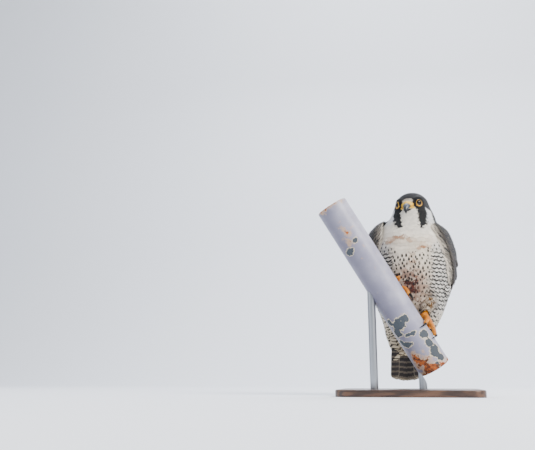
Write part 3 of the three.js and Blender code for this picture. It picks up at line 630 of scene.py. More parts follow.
def lay_out(form: Form, roots: Array, wish: Array) -> tuple[Array, Array, Array]:
    """Settles roots on a form and turns the wished direction into the surface there.

    Args:
        form: the form that the feathers lie on.
        roots: where they should stand.
        wish: the direction that each should point in.

    Returns:
        The roots on the surface, the direction along and the direction sideways.
    """
    ground = form.settle(roots)
    tangent = unit(wish)
    step = form.settle(ground + tangent * 2) - ground
    side = form.settle(ground + np.cross(tangent, unit(ground - roots.mean(0) + 1e-6)) * 2) - ground
    normal = unit(np.cross(step, side))
    normal = normal * np.sign(np.sum(normal * (form.settle(ground, 1.0) - ground), -1, keepdims=True))
    along = unit(tangent - normal * np.sum(tangent * normal, -1, keepdims=True))
    return ground, along, np.cross(normal, along)


def feather_mesh(points: Array, faces: list[Array], lay: Lay, across: Array, from_tip: Array, edge: Array) -> MeshParts:
    """Gathers feathers' points with what their finish reads. Each feather is a small patch at its root's place.

    Args:
        points: the feathers' points.
        faces: their faces.
        lay: tints, marks and patches.
        across: the distance from the shaft of each point of each feather.
        from_tip: the distance from the tip.
        edge: the distance from the edge.

    Returns:
        The mesh with its values tint, lay and marks.
    """
    tint, marks, patch = (np.repeat(rows, across.shape[1], axis=0) for rows in (lay.tint, lay.marks, lay.patch))
    across, from_tip = across.ravel(), from_tip.ravel()
    patch = patch + table(across, from_tip) * (0.0015 / max(float(lay.length.max()), 1.0))
    values = {"tint": np.column_stack([tint, np.ones(len(tint))]), "marks": marks,
              "lay": table(across, from_tip, np.maximum(edge.ravel(), 0))}
    return MeshParts(points.reshape(-1, 3), faces, values, np.clip(patch, 0, 1))


@dataclass(frozen=True)
class Tuft:
    """A small soft feather: a fan of barbs, each a flat tapering tube of four sides that ends in a point."""

    barbs: int = 9
    shorten: float = 0.3
    barb_width: float = 1.75
    thick: float = 0.1
    sink: float = 0.7
    rise: float = 0.75
    loose: float = 0.12
    spread: float = 0.6
    uneven: float = 1.0
    camber: float = 0.55

    def build(self, form: Form, lay: Lay, seed: int) -> MeshParts:
        """Lays one fan for each feather.

        A barb starts near the root, at a share of its place across, and ends on the feather's rounded outline. Its
        height over the form grows from root to tip, and the middle barbs lie over the outer ones, by the camber times
        one minus the square of their place across.

        Args:
            form: the form that they lie on.
            lay: where they stand.
            seed: for the small random differences.

        Returns:
            The mesh, with tint, lay and marks at its points.
        """
        rng = np.random.default_rng(seed)
        size = (len(lay.roots), self.barbs, 1, 1)
        # The axes of each array: feather, barb, ring along the barb, corner of the ring.
        place = np.linspace(-1, 1, self.barbs)[:, None, None]
        way = np.array([0.0, 0.5, 0.85, 1.0])[:, None]
        half = self.barb_width / self.barbs * np.array([0.8, 1.0, 0.78, 0.0])[:, None]
        full = self.thick * np.array([0.6, 1, 0.8, 0])[:, None]
        end = 1 - self.shorten * place ** 2 + self.uneven * rng.uniform(-0.07, 0.05, size)
        down = (0.02 + (end - 0.02) * way) * lay.length[:, None, None, None]
        lean = 0.08 * self.uneven * rng.uniform(-1, 1, size)
        w = place * mix(self.spread, 1, way) + lean * way
        lift = (self.sink + self.rise) * way ** 1.4 - self.sink + self.loose * rng.normal(size=size) * way ** 2
        lift = lift + self.camber * (1 - np.clip(w, -1, 1) ** 2)
        across = (w + half * [-1.0, 0.0, 1.0, 0.0]) * lay.width[:, None, None, None] / 2
        out = lift + full * [0.0, 1.0, 0.0, -1.0]
        # A barb's last ring is one point.
        across, down, out = (np.broadcast_to(a, across.shape).reshape(*size[:2], 16)[..., :13].reshape(size[0], -1)
                             for a in (across, down, out))
        flat = lay.roots[:, None] + down[..., None] * lay.along[:, None] + across[..., None] * lay.sideways[:, None]
        tips = np.array([[8 + j, 8 + (j + 1) % 4, 12] for j in range(4)])
        faces = [many(part, 13, size[0] * self.barbs) for part in (quads(3, 4, True), tips, np.array([[3, 2, 1, 0]]))]
        from_tip = lay.length[:, None] - down
        edge = np.minimum(from_tip, lay.width[:, None] / 2 - np.abs(across))
        return feather_mesh(form.settle(flat, out), faces, lay, across, from_tip, edge)


@dataclass(frozen=True)
class Vane:
    """A firm feather: a thin closed blade with a shaft, rounded at its tip."""

    rows: int = 6
    columns: int = 5
    root_width: float = 0.55
    full_from: float = 0.4
    roundness: float = 0.7
    thick: float = 0.35
    camber: float = 0.3
    lean: float = 0.0
    roll: float = 0.0
    ragged: float = 0.0

    def build(self, surface: Surface, low: Array, high: Array, lay: Lay, seed: int) -> MeshParts:
        """Lays one blade for each feather in a surface.

        The half width swells from the root to its full size and falls to the tip as the side of an ellipse does. The
        blade's height runs from low at the root to high at the tip, with a rise along the shaft and one edge higher.

        Args:
            surface: gives points for shares along, distances across and heights out.
            low: the roots' heights.
            high: the tips' heights.
            lay: sizes, tints and marks.
            seed: for the ragged tips.

        Returns:
            The mesh, with tint, lay and marks at its points.
        """
        rng = np.random.default_rng(seed)
        count, size = len(lay.length), self.rows * self.columns
        # The axes of each array: feather, row from root to tip, column across.
        t = (1 - (1 - np.linspace(0, 1, self.rows)) ** 1.35)[:, None]
        c = np.linspace(-1, 1, self.columns)
        end = np.clip((t - self.roundness) / (1 - self.roundness), 0, 1)
        half = mix(self.root_width, 1, smooth(t, 0, self.full_from)) * np.sqrt(np.clip(1 - end ** 2, 0.004, 1))
        width = lay.width[:, None, None] / 2
        across = (half * c + self.lean * half * 0.5) * width
        along = t + self.ragged * rng.uniform(-1, 0, (count, 1, self.columns)) * t ** 6
        rise = mix(np.reshape(low, (-1, 1, 1)), np.reshape(high, (-1, 1, 1)), along)
        rise = rise + self.camber * (1 - c ** 2) - self.roll * c
        sides = surface(along, across, rise), surface(along, across, rise - self.thick * mix(1, 0.6, along))
        points = np.concatenate([side.reshape(count, -1, 3) for side in sides], 1)
        sheet, rim = quads(self.rows, self.columns), self.rim()
        wall = table(rim, np.roll(rim, -1), np.roll(rim, -1) + size, rim + size)
        faces = np.concatenate([sheet[:, ::-1], sheet + size, wall])
        down = (1 - along) * lay.length[:, None, None]
        edge = np.minimum(down, half * (1 - np.abs(c)) * width)
        across, down, edge = (np.tile(value.reshape(count, -1), 2) for value in (across, down, edge))
        return feather_mesh(points, [many(faces, 2 * size, count)], lay, across, down, edge)

    def rim(self) -> Array:
        """The points of the blade's outline, in order round it."""
        grid = np.arange(self.rows * self.columns).reshape(self.rows, self.columns)
        return np.concatenate([grid[0], grid[1:, -1], grid[-1, -2::-1], grid[-2:0:-1, 0]])


def on_form(form: Form, lay: Lay) -> Surface:
    """The surface that feathers with settled roots are laid in."""
    def surface(t: Array, distance: Array, out: Array) -> Array:
        """Points by share along, distance across and distance out."""
        run = (t * lay.length[:, None, None])[..., None] * lay.along[:, None, None]
        return form.settle(lay.roots[:, None, None] + run + distance[..., None] * lay.sideways[:, None, None], out)
    return surface




# ---- Markings


class Ground(Enum):
    """The plumage's ground colours and stains, as sRGB hex."""

    CREAM = "#d2c7b5"
    THROAT = "#d8d1c4"
    FOREHEAD = "#b3aa9c"
    CHEEK = "#d3d4d6"
    SMUDGE = "#8a5729"
    WASH = "#6c2f1f"
    RUST = "#4d1b10"
    DARK_RUST = "#160503"
    GOLD = "#5e3d0e"
    BROWN = "#1b120b"
    BELLY = "#c8b9a6"
    FLANK = "#cbc6bd"
    CROWN = "#28282b"
    MALAR = "#0d0d0f"
    BACK = "#3a3e46"
    RUMP = "#4b525c"
    WING = "#252429"
    WING_GREY = "#2a2b30"
    FLIGHT = "#29282c"
    UNDERTAIL = "#cdbd9d"
    TAIL = "#655e54"

    @property
    def rgb(self) -> Array:
        """The colour as linear numbers."""
        return np.array(linear(self.value))


# The back's edge, as an angle from the front at each height.
DORSAL_EDGE = ([100, 180, 200, 232, 285, 300, 312, 325, 340], [128, 128, 116, 84, 76, 66, 62, 70, 80])
# Stains of mud and old prey on the front: colour, strength, place across and up, half width and half height.
STAINS = (
    (Ground.SMUDGE, 1.0, -22, 277, 14, 5), (Ground.SMUDGE, 0.9, 17, 260, 12, 5), (Ground.SMUDGE, 0.5, -1, 272, 8, 4),
    (Ground.SMUDGE, 0.8, -39, 271, 6, 4), (Ground.SMUDGE, 0.4, 32, 273, 8, 5), (Ground.SMUDGE, 0.5, 0, 236, 7, 12),
    (Ground.SMUDGE, 0.6, -4, 192, 26, 32), (Ground.WASH, 0.8, -3, 191, 20, 25), (Ground.RUST, 1.1, -3, 190, 13, 18),
    (Ground.DARK_RUST, 1.1, -8, 204, 4.5, 6.5), (Ground.DARK_RUST, 1.1, 3, 190, 4, 8),
    (Ground.RUST, 0.8, -9, 172, 8, 12), (Ground.GOLD, 1.1, 28, 165, 11, 20), (Ground.BROWN, 0.9, 25, 182, 4, 6),
    (Ground.BROWN, 0.8, 24, 160, 3, 8),
)


@dataclass(frozen=True)
class Markings:
    """The colours and marks of the plumage at any place on the bird, for skin and feathers alike."""

    form: PlumageForm

    def at(self, points: Array) -> tuple[Array, Array]:
        """The ground colour and the marks at places.

        Args:
            points: places on or near the plumage.

        Returns:
            Linear colours, and rows of spot radius in millimetres, bar strength, pale edge and a random share.
        """
        height, turn, _ = self.form.body.polar(points)
        front = (np.degrees(turn) + 270) % 360 - 180
        side, uneven = np.abs(front), patchy(points, 16, 0.7)
        dorsal = smooth(side - np.interp(height, *DORSAL_EDGE), -2, 6)
        tint = self.head_tint(points, self.body_tint(points, height, side, dorsal), height, front, dorsal)
        return tint, self.marks(points, height, side, dorsal, uneven)

    @staticmethod
    def body_tint(points: Array, height: Array, side: Array, dorsal: Array) -> Array:
        """The ground colour of neck, breast, belly, flanks, undertail and back, with the stains down the front.

        Args:
            points: the places.
            height: their heights.
            side: their angles from the front.
            dorsal: 1 on the back and 0 in front.

        Returns:
            Linear colours.
        """
        tint = blend(Ground.CREAM.rgb, Ground.THROAT.rgb, smooth(height, 268, 292))
        tint = blend(tint, Ground.BELLY.rgb, (1 - smooth(height, 205, 245)) * (1 - smooth(side, 24, 36)))
        tint = blend(tint, Ground.FLANK.rgb, smooth(side, 24, 40) * (1 - smooth(height, 262, 285)))
        fine = 0.25 + 0.95 * smooth(patchy(points, 8, 5.0), -0.7, 0.5)
        for colour, strength, x, z, wide, high in STAINS:
            gap = ((points[..., 0] - x) / wide) ** 2 + ((points[..., 2] - z) / high) ** 2
            stain = strength * fine * np.exp(-gap) * (points[..., 1] < 10)
            tint = blend(tint, colour.rgb, np.clip(stain, 0, 1))
        tint = blend(tint, Ground.UNDERTAIL.rgb, (1 - smooth(height, 120, 158)) * 0.8)
        slate = blend(Ground.RUMP.rgb, Ground.BACK.rgb, smooth(height, 190, 260))
        return blend(tint, blend(slate, Ground.CROWN.rgb, smooth(height, 290, 306)), dorsal)

    def head_tint(self, points: Array, tint: Array, height: Array, front: Array, dorsal: Array) -> Array:
        """The head's pattern: pale forehead and cheeks, dark cap and nape, and a black stripe under each eye.

        Args:
            points: the places.
            tint: the ground colour so far.
            height: their heights.
            front: their angles from the front, to the bird's left.
            dorsal: 1 on the back and 0 in front.

        Returns:
            Linear colours.
        """
        local = self.form.head.local(points)
        side, up = np.abs(front), local[..., 2]
        uneven = 2.2 * patchy(points, 5, 4.0)
        tint = blend(tint, Ground.CHEEK.rgb, smooth(height, 300, 318) * smooth(side, 30, 44) * (1 - dorsal))
        tint = blend(tint, Ground.FOREHEAD.rgb, smooth(up, 0, 4) * (1 - smooth(side, 30, 40)))
        cap_line = np.interp(side, [0, 14, 24, 34, 52, 66, 80, 92, 180], [9, 8.5, 5, -2, -7, -12, -16, -28, -32])
        tint = blend(tint, Ground.CROWN.rgb, smooth(up + 0.4 * uneven - cap_line, -1.2, 1.6))
        # The stripes stand a little towards the bird's left of the bill's own line, as in its pose.
        centre = np.interp(height, [298, 303, 328, 345], [20, 22, 37, 40])
        reach = np.interp(height, [297, 301, 308, 320, 336, 345], [1, 5, 7.5, 9, 9.5, 8.5])
        gap = np.abs(np.abs(front - 4) - centre) * np.interp(height, [300, 345], [0.88, 0.56])
        stripe = smooth(reach + 0.35 * uneven - gap, -1.2, 1.2) * smooth(height, 295, 299) * (1 - smooth(up, -2, 4))
        tint = blend(tint, Ground.MALAR.rgb, stripe)
        mirrored = table(np.abs(local[..., 0]), -local[..., 1], up)
        around = span(mirrored - [20.5, 26, 0.5]) - 0.14 * np.abs(uneven)
        tint = blend(tint, Ground.MALAR.rgb, 1 - smooth(around, 10.8, 13.5))
        lores = span((mirrored - [12.5, 30, -2]) / [1, 1.2, 1.4])
        return blend(tint, Ground.MALAR.rgb, 0.85 * (1 - smooth(lores, 3.5, 6)))

    @staticmethod
    def marks(points: Array, height: Array, side: Array, dorsal: Array, uneven: Array) -> Array:
        """Spots below the breast, bars on the flanks and the back, and pale edges on the back.

        Args:
            points: the places.
            height: their heights.
            side: their angles from the front.
            dorsal: 1 on the back and 0 in front.
            uneven: a soft field that makes the spots' upper limit uneven.

        Returns:
            Rows of spot radius, bar strength, pale edge and a random share.
        """
        shade = (np.sin(points @ [12.9898, 78.233, 37.719]) * 43758.5453) % 1
        start = np.interp(side, [0, 20, 35, 50, 62], [252, 253, 263, 280, 304])
        spot = 2.1 * smooth(start + 7 * uneven - height, -5, 6) * mix(0.72, 1.12, shade)
        spot = spot * mix(0.82, 1.0, smooth(height, 165, 215))
        bar = smooth(side, 23, 33) * (1 - smooth(height, 246, 264)) * smooth(height, 118, 126)
        bar = bar * (smooth(side, 34, 60) * (1 - smooth(height, 128, 172)) < 0.25 + 1.4 * shade)
        bar = np.maximum(bar * (1 - dorsal), 1 - smooth(height, 122, 136))
        bar = np.maximum(bar, 0.7 * dorsal * (1 - smooth(height, 280, 296)))
        spot = spot * (1 - smooth(bar, 0.3, 0.7)) * (1 - dorsal)
        return table(np.maximum(spot, 0), bar, 0.6 * dorsal * (1 - smooth(height, 280, 294)), shade)


# ---- Finishes


class Step(Enum):
    """Kinds of node: the type, the settings, what is fed in order and the output that is read.

    A kind that is only a name is the Math node's operation of that name.
    """

    ADD = "ADD"
    SUBTRACT = "SUBTRACT"
    MULTIPLY = "MULTIPLY"
    MULTIPLY_ADD = "MULTIPLY_ADD"
    DIVIDE = "DIVIDE"
    MAXIMUM = "MAXIMUM"
    MINIMUM = "MINIMUM"
    ABSOLUTE = "ABSOLUTE"
    POWER = "POWER"
    SINE = "SINE"
    COSINE = "COSINE"
    EASE = ("MapRange", {"interpolation_type": "SMOOTHSTEP"}, (0, 1, 2), 0)
    MIX = ("Mix", {"data_type": "RGBA"}, (0, 6, 7), 2)
    DIM = ("VectorMath", {"operation": "SCALE"}, (0, "Scale"), 0)
    PLACE = ("TexCoord", {}, (), "Object")
    STRETCH = ("Mapping", {}, ("Vector", "Scale"), 0)
    NOISE = ("TexNoise", {"Detail": 3, "Roughness": 0.55}, ("Vector", "Scale", "Detail", "Roughness"), 0)
    CELLS = ("TexVoronoi", {"feature": "DISTANCE_TO_EDGE"}, ("Vector", "Scale"), "Distance")
    BANDS = ("TexWave", {"bands_direction": "Y"},
             ("Vector", "Scale", "Distortion", "Detail", "Detail Scale"), "Fac")
    NUMBER = ("Attribute", {}, ("attribute_name",), "Fac")
    VECTOR = ("Attribute", {}, ("attribute_name",), "Vector")
    COLOUR = ("Attribute", {}, ("attribute_name",), "Color")
    PARTS = ("SeparateXYZ", {}, (0,), 0)
    CHANNELS = ("SeparateColor", {}, (0,), 0)
    BUMP = ("Bump", {}, ("Height", "Strength", "Distance"), 0)
    SURFACE = ("BsdfPrincipled", {}, ("Base Color", "Roughness", "Normal"), 0)
    BACKGROUND = ("Background", {}, ("Color", "Strength"), 0)


def node(tree: bpy.types.NodeTree, step: Step, *feeds: object, **settings: object) -> Socket:
    """Adds a node with its settings and links.

    Args:
        tree: the material's tree.
        step: the kind of node.
        feeds: for each thing that the kind is fed, the socket that it reads, its value or an sRGB hex colour.
        settings: more of its properties and inputs, by name with _ for each blank.

    Returns:
        The output that this kind is read by.
    """
    plain = isinstance(step.value, str)
    kind, fixed, inputs, output = ("Math", {"operation": step.value}, (0, 1, 2), 0) if plain else step.value
    made = tree.nodes.new("ShaderNode" + kind)
    for key, feed in (*fixed.items(), *settings.items(), *zip(inputs, feeds)):
        if isinstance(key, str) and hasattr(made, key):
            setattr(made, key, feed)
            continue
        entry = made.inputs[key.replace("_", " ") if isinstance(key, str) else key]
        if isinstance(feed, bpy.types.NodeSocket):
            tree.links.new(feed, entry)
        else:
            entry.default_value = (*linear(feed), 1) if isinstance(feed, str) else feed
    return made.outputs[output]


@dataclass(frozen=True)
class Finish:
    """A named material. Each kind of finish says what its surface is."""

    name: str

    def build(self) -> bpy.types.Material:
        """Makes the material from its surface.

        Returns:
            The material.
        """
        material = bpy.data.materials.new(self.name)
        material.use_nodes = True
        tree = material.node_tree
        tree.nodes.clear()
        end = tree.nodes.new("ShaderNodeOutputMaterial")
        tree.links.new(self.surface(partial(node, tree)), end.inputs[0])
        return material

    def surface(self, add: Adder) -> Socket:
        """The shader's output. A plain finish is matt pale paper."""
        return add(Step.SURFACE, "#eceff5", 0.9)


@dataclass(frozen=True)
class PlumageFinish(Finish):
    """Feather keratin: matt, with a soft sheen along the barbs. Marks are dark melanin bands and drops.

    Each feather carries its own ground tint, so the coat is even at a distance and scaly close by. A bar crosses the
    feather in a shallow chevron, a spot is a drop near its tip, and an edge is a pale rim a set width wide. The barbs'
    ridges are about 1 mm apart, ten times the real ones, which wouldn't show.
    """

    mark: str = "#0e0c0d"
    edge: str = "#a79d8d"
    rim: float = 0.9
    tip_band: float = 0.0
    period: float = 7.3
    first: float = 4.0
    share: float = 0.5
    chevron: float = 0.42
    barbs: float = 1.1
    barb_depth: float = 0.4
    roughness: float = 0.8
    sheen: float = 0.1
    shaft: float = 0.0
    wander: float = 0.8

    def surface(self, add: Adder) -> Socket:
        """Lays spots, bars, rim, tip band and shaft over the tint, as the feather's lay and marks say.

        Args:
            add: adds a node to the tree.

        Returns:
            The shader's output.
        """
        place = add(Step.PLACE)
        across, tip, edge = add(Step.PARTS, add(Step.VECTOR, "lay")).node.outputs
        marks = add(Step.COLOUR, "marks")
        radius, bars, pale = add(Step.CHANNELS, marks).node.outputs
        wander = add(Step.SUBTRACT, add(Step.NOISE, place, 1000 / 2.6), 0.5)
        side = add(Step.MULTIPLY_ADD, wander, 1.4 * self.wander, across)
        down = add(Step.MULTIPLY_ADD, wander, 2.2 * self.wander, tip)
        barred = add(Step.MULTIPLY, self.bar(add, side, down), bars)
        dark = add(Step.MAXIMUM, self.spot(add, side, down, radius), barred)
        shade = add(Step.MULTIPLY_ADD, marks.node.outputs["Alpha"], 0.22, 0.88)
        mottle = add(Step.MULTIPLY_ADD, add(Step.NOISE, place, 1000 / 5.5), 0.24, 0.88)
        colour = add(Step.DIM, add(Step.COLOUR, "tint"), add(Step.MULTIPLY, shade, mottle))
        colour = add(Step.MIX, add(Step.MULTIPLY, dark, 0.96), colour, self.mark)
        rim = add(Step.EASE, add(Step.MULTIPLY_ADD, wander, 0.8, edge), self.rim, self.rim * 0.25)
        colour = add(Step.MIX, add(Step.MULTIPLY, rim, pale), colour, self.edge)
        if self.tip_band:
            band = add(Step.EASE, down, self.tip_band, self.tip_band * 0.6)
            colour = add(Step.MIX, add(Step.MULTIPLY, band, 0.8), colour, self.edge)
        if self.shaft:
            line = add(Step.EASE, add(Step.ABSOLUTE, across), self.shaft * 1.6, self.shaft * 0.6)
            colour = add(Step.MIX, add(Step.MULTIPLY, line, 0.6), colour, "#1c1a1c")
        slant = add(Step.MULTIPLY_ADD, add(Step.ABSOLUTE, across), 0.9, tip)
        wave = add(Step.SINE, add(Step.MULTIPLY, slant, 2 * math.pi / self.barbs))
        ridges = add(Step.MULTIPLY_ADD, wave, 0.5, add(Step.NOISE, place, 1000 / 1.6))
        return add(Step.SURFACE, colour, self.roughness, add(Step.BUMP, ridges, self.barb_depth, 0.0004), IOR=1.54,
                   Specular_IOR_Level=0.3, Sheen_Weight=self.sheen, Sheen_Roughness=0.5)

    def spot(self, add: Adder, side: Socket, down: Socket, radius: Socket) -> Socket:
        """A drop near the tip: an ellipse that is longer towards the root.

        Args:
            add: adds a node to the tree.
            side: the distance from the shaft.
            down: the distance from the tip.
            radius: the spot's radius.

        Returns:
            1 inside the drop and 0 outside.
        """
        wide = add(Step.DIVIDE, side, add(Step.MAXIMUM, add(Step.MULTIPLY, radius, 0.92), 0.01))
        off = add(Step.SUBTRACT, down, add(Step.MULTIPLY_ADD, radius, 1.2, 1.1))
        below = add(Step.DIVIDE, add(Step.MINIMUM, off, 0.0), add(Step.MAXIMUM, radius, 0.01))
        longer = add(Step.MAXIMUM, add(Step.MULTIPLY, radius, 1.9), 0.01)
        high = add(Step.ADD, below, add(Step.DIVIDE, add(Step.MAXIMUM, off, 0.0), longer))
        size = add(Step.POWER, add(Step.MULTIPLY_ADD, wide, wide, add(Step.MULTIPLY, high, high)), 0.5)
        return add(Step.MULTIPLY, add(Step.EASE, size, 1.25, 0.8), add(Step.EASE, radius, 0.15, 0.5))

    def bar(self, add: Adder, side: Socket, down: Socket) -> Socket:
        """Bands across the feather, a period apart, that bend back from the shaft to both sides.

        Args:
            add: adds a node to the tree.
            side: the distance from the shaft.
            down: the distance from the tip.

        Returns:
            1 on a band and 0 between.
        """
        bent = add(Step.MULTIPLY_ADD, add(Step.ABSOLUTE, side), -self.chevron, down)
        phase = add(Step.MULTIPLY, add(Step.SUBTRACT, bent, self.first), 2 * math.pi / self.period)
        limit = math.cos(math.pi * self.share)
        return add(Step.EASE, add(Step.COSINE, phase), limit - 0.16, limit + 0.16)


@dataclass(frozen=True)
class ScaledSkinFinish(Finish):
    """Bare waxy skin, yellow with orange in its folds, set with small flat scales."""

    light: str = "#e08e06"
    deep: str = "#c26704"
    seam: str = "#8f4f08"
    scale: float = 1.0
    depth: float = 0.4
    roughness: float = 0.42

    def surface(self, add: Adder) -> Socket:
        """Cells for scales, darker in the seams between them, and painted shade, a near-black brown, in the nostrils'
        openings.

        Args:
            add: adds a node to the tree.

        Returns:
            The shader's output.
        """
        place = add(Step.PLACE)
        seam = add(Step.EASE, add(Step.CELLS, place, 1000 / self.scale), 0.02, 0.16)
        patch = add(Step.EASE, add(Step.NOISE, place, 1000 / 6), 0.35, 0.7)
        colour = add(Step.MIX, seam, self.seam, add(Step.MIX, patch, self.light, self.deep))
        # Painted shade: near black in the nostrils' openings, which are only shallow dents in the mesh.
        colour = add(Step.MIX, add(Step.NUMBER, "hole"), colour, "#1a0f08")
        return add(Step.SURFACE, colour, self.roughness, add(Step.BUMP, seam, self.depth, 0.0003),
                   Subsurface_Weight=0.08, Subsurface_Radius=(0.002, 0.001, 0.0004))


@dataclass(frozen=True)
class HornFinish(Finish):
    """Keratin horn, polished by wear: blue-grey that darkens to the tip, with faint growth lines."""

    root: str = "#3c444e"
    tip: str = "#0b0b0d"
    roughness: float = 0.3
    gloss: float = 0.4

    def surface(self, add: Adder) -> Socket:
        """Shades the horn by how far along it a point is, with growth lines square to that.

        Args:
            add: adds a node to the tree.

        Returns:
            The shader's output.
        """
        place, along = add(Step.PLACE), add(Step.NUMBER, "along")
        wobble = add(Step.MULTIPLY_ADD, add(Step.NOISE, place, 1000 / 3), 0.25, add(Step.ADD, along, -0.12))
        colour = add(Step.MIX, add(Step.EASE, wobble, 0.18, 0.72), self.root, self.tip)
        rings = add(Step.SINE, add(Step.MULTIPLY, along, 90.0))
        wear = add(Step.MULTIPLY_ADD, add(Step.NOISE, place, 1000 / 1.5), 0.16, self.roughness - 0.06)
        return add(Step.SURFACE, colour, wear, add(Step.BUMP, rings, 0.12, 0.0002), IOR=1.54,
                   Specular_IOR_Level=self.gloss)


@dataclass(frozen=True)
class EyeFinish(Finish):
    """A wet cornea over a black pupil and a very dark brown iris."""

    pupil: str = "#020202"
    iris: str = "#150b06"
    rim: str = "#060404"

    def surface(self, add: Adder) -> Socket:
        """Pupil, iris and rim by a point's distance from the line of sight in millimetres.

        Args:
            add: adds a node to the tree.

        Returns:
            The shader's output.
        """
        off = add(Step.NUMBER, "off_axis")
        iris = add(Step.MIX, add(Step.NOISE, add(Step.PLACE), 1000 / 0.9), self.iris, self.pupil)
        colour = add(Step.MIX, add(Step.EASE, off, 3.0, 3.5), self.pupil, iris)
        colour = add(Step.MIX, add(Step.EASE, off, 5.0, 5.8), colour, self.rim)
        return add(Step.SURFACE, colour, 0.04, IOR=1.38)


@dataclass(frozen=True)
class SparPaintFinish(Finish):
    """Old gloss enamel on steel tube: chalky lilac-white, flaked to slate primer, with rust at its cut end."""

    paint: str = "#8e8ca0"
    chalk: str = "#a8a7b6"
    # The colour of the painted shade on the spar's lower side, away from the key light.
    soot: str = "#4b485c"
    primer: str = "#454c53"
    lip: str = "#cfc09f"
    rust: str = "#a4521c"
    dark_rust: str = "#3a1a0e"

    def surface(self, add: Adder) -> Socket:
        """Breaks up the edges of the smooth fields flake and rust with noise, and lays primer and rust by them.

        Args:
            add: adds a node to the tree.

        Returns:
            The shader's output.
        """
        place, flake = add(Step.PLACE), add(Step.NUMBER, "flake")
        ragged = add(Step.SUBTRACT, add(Step.NOISE, place, 1000 / 11, 7, 0.66), 0.5)
        bare = add(Step.MULTIPLY_ADD, ragged, 1.5, flake)
        chips = add(Step.MULTIPLY, add(Step.EASE, add(Step.NOISE, place, 1000 / 7, 8, 0.7), 0.71, 0.73),
                    add(Step.EASE, flake, 0.02, 0.25))
        primed = add(Step.MAXIMUM, add(Step.EASE, bare, 0.50, 0.53), chips)
        blotch = add(Step.SUBTRACT, add(Step.NOISE, place, 1000 / 9, 7, 0.68), 0.5)
        stain = add(Step.MULTIPLY_ADD, blotch, 1.9, add(Step.NUMBER, "rust"))
        rusted = add(Step.EASE, stain, 0.55, 0.62)
        clouds = add(Step.EASE, add(Step.NOISE, place, 1000 / 40, 5), 0.35, 0.7)
        grime = add(Step.EASE, add(Step.NOISE, place, 1000 / 3.2, 6, 0.7), 0.58, 0.8)
        colour = add(Step.MIX, clouds, self.paint, self.chalk)
        # Painted shade: the lower side is darkened towards this colour, as if the key light left it in shade.
        colour = add(Step.MIX, add(Step.NUMBER, "soot"), colour, self.soot)
        colour = add(Step.MIX, add(Step.MULTIPLY, grime, 0.35), colour, "#8f8b93")
        colour = add(Step.MIX, add(Step.MULTIPLY, add(Step.EASE, stain, 0.16, 0.5), 0.55), colour, "#c9a06b")
        colour = add(Step.MIX, add(Step.MULTIPLY, add(Step.EASE, bare, 0.36, 0.44), 0.8), colour, self.lip)
        primer = add(Step.MIX, add(Step.NOISE, place, 1000 / 4), self.primer, "#333940")
        colour = add(Step.MIX, primed, colour, primer)
        coarse = add(Step.EASE, add(Step.NOISE, place, 1000 / 6, 7, 0.7), 0.44, 0.56)
        fine = add(Step.EASE, add(Step.NOISE, place, 1000 / 3, 6, 0.7), 0.56, 0.7)
        rusty = add(Step.MIX, fine, add(Step.MIX, coarse, self.rust, self.dark_rust), "#cf9a5c")
        colour = add(Step.MIX, rusted, colour, rusty)
        rough = add(Step.MULTIPLY_ADD, add(Step.MAXIMUM, primed, rusted), 0.4, 0.42)
        hollow = add(Step.MAXIMUM, primed, add(Step.MULTIPLY, rusted, 0.7))
        pits = add(Step.MULTIPLY, add(Step.NOISE, place, 1000 / 2.2, 6, 0.7), 0.35)
        relief = add(Step.BUMP, add(Step.SUBTRACT, pits, hollow), 0.8, 0.0006)
        return add(Step.SURFACE, colour, rough, relief)


@dataclass(frozen=True)
class WalnutFinish(Finish):
    """Walnut board, oiled: brown bands of grain along the board, with short dark pores."""

    light: str = "#5f4230"
    dark: str = "#2f1e15"

    def surface(self, add: Adder) -> Socket:
        """Bands stretched along x, about 6 mm apart and warped by noise, and pores under a thin coat of oil.

        Args:
            add: adds a node to the tree.

        Returns:
            The shader's output.
        """
        long = add(Step.STRETCH, add(Step.PLACE), (0.1, 1, 1))
        bands = add(Step.BANDS, long, 30, 9, 4, 2.5, Detail_Roughness=0.6)
        pore = add(Step.EASE, add(Step.NOISE, long, 1500, 3, 0.5), 0.62, 0.7)
        colour = add(Step.MIX, add(Step.MULTIPLY, pore, 0.6), add(Step.MIX, bands, self.dark, self.light), "#1d120c")
        relief = add(Step.BUMP, pore, 0.15, 0.0003, invert=True)
        return add(Step.SURFACE, colour, add(Step.MULTIPLY_ADD, pore, 0.2, 0.4), relief, Coat_Weight=0.15,
                   Coat_Roughness=0.3)


@dataclass(frozen=True)
class SatinSteelFinish(Finish):
    """Stainless steel rod, drawn and satin-polished: fine marks round it, even and quiet."""

    colour: str = "#9c9fa4"

    def surface(self, add: Adder) -> Socket:
        """Marks squeezed up the rod, which only change its gloss.

        Args:
            add: adds a node to the tree.

        Returns:
            The shader's output.
        """
        marks = add(Step.NOISE, add(Step.STRETCH, add(Step.PLACE), (1, 1, 12)), 220, 5, 0.5)
        rough = add(Step.MULTIPLY_ADD, marks, 0.2, 0.26)
        return add(Step.SURFACE, self.colour, rough, add(Step.BUMP, marks, 0.05, 0.0001), Metallic=1.0)


# ---- Head pieces


# Where the eyeballs sit in the head's own frame, and how far each looks out from the bill's line.
EYE_AT = np.array([15.8, -21.4, 0.0])
EYE_GAZE = math.radians(46)


def gaze(side: int) -> Array:
    """The line of sight of one eye in the head's own frame."""
    return np.array([side * math.sin(EYE_GAZE), -math.cos(EYE_GAZE), 0.03])


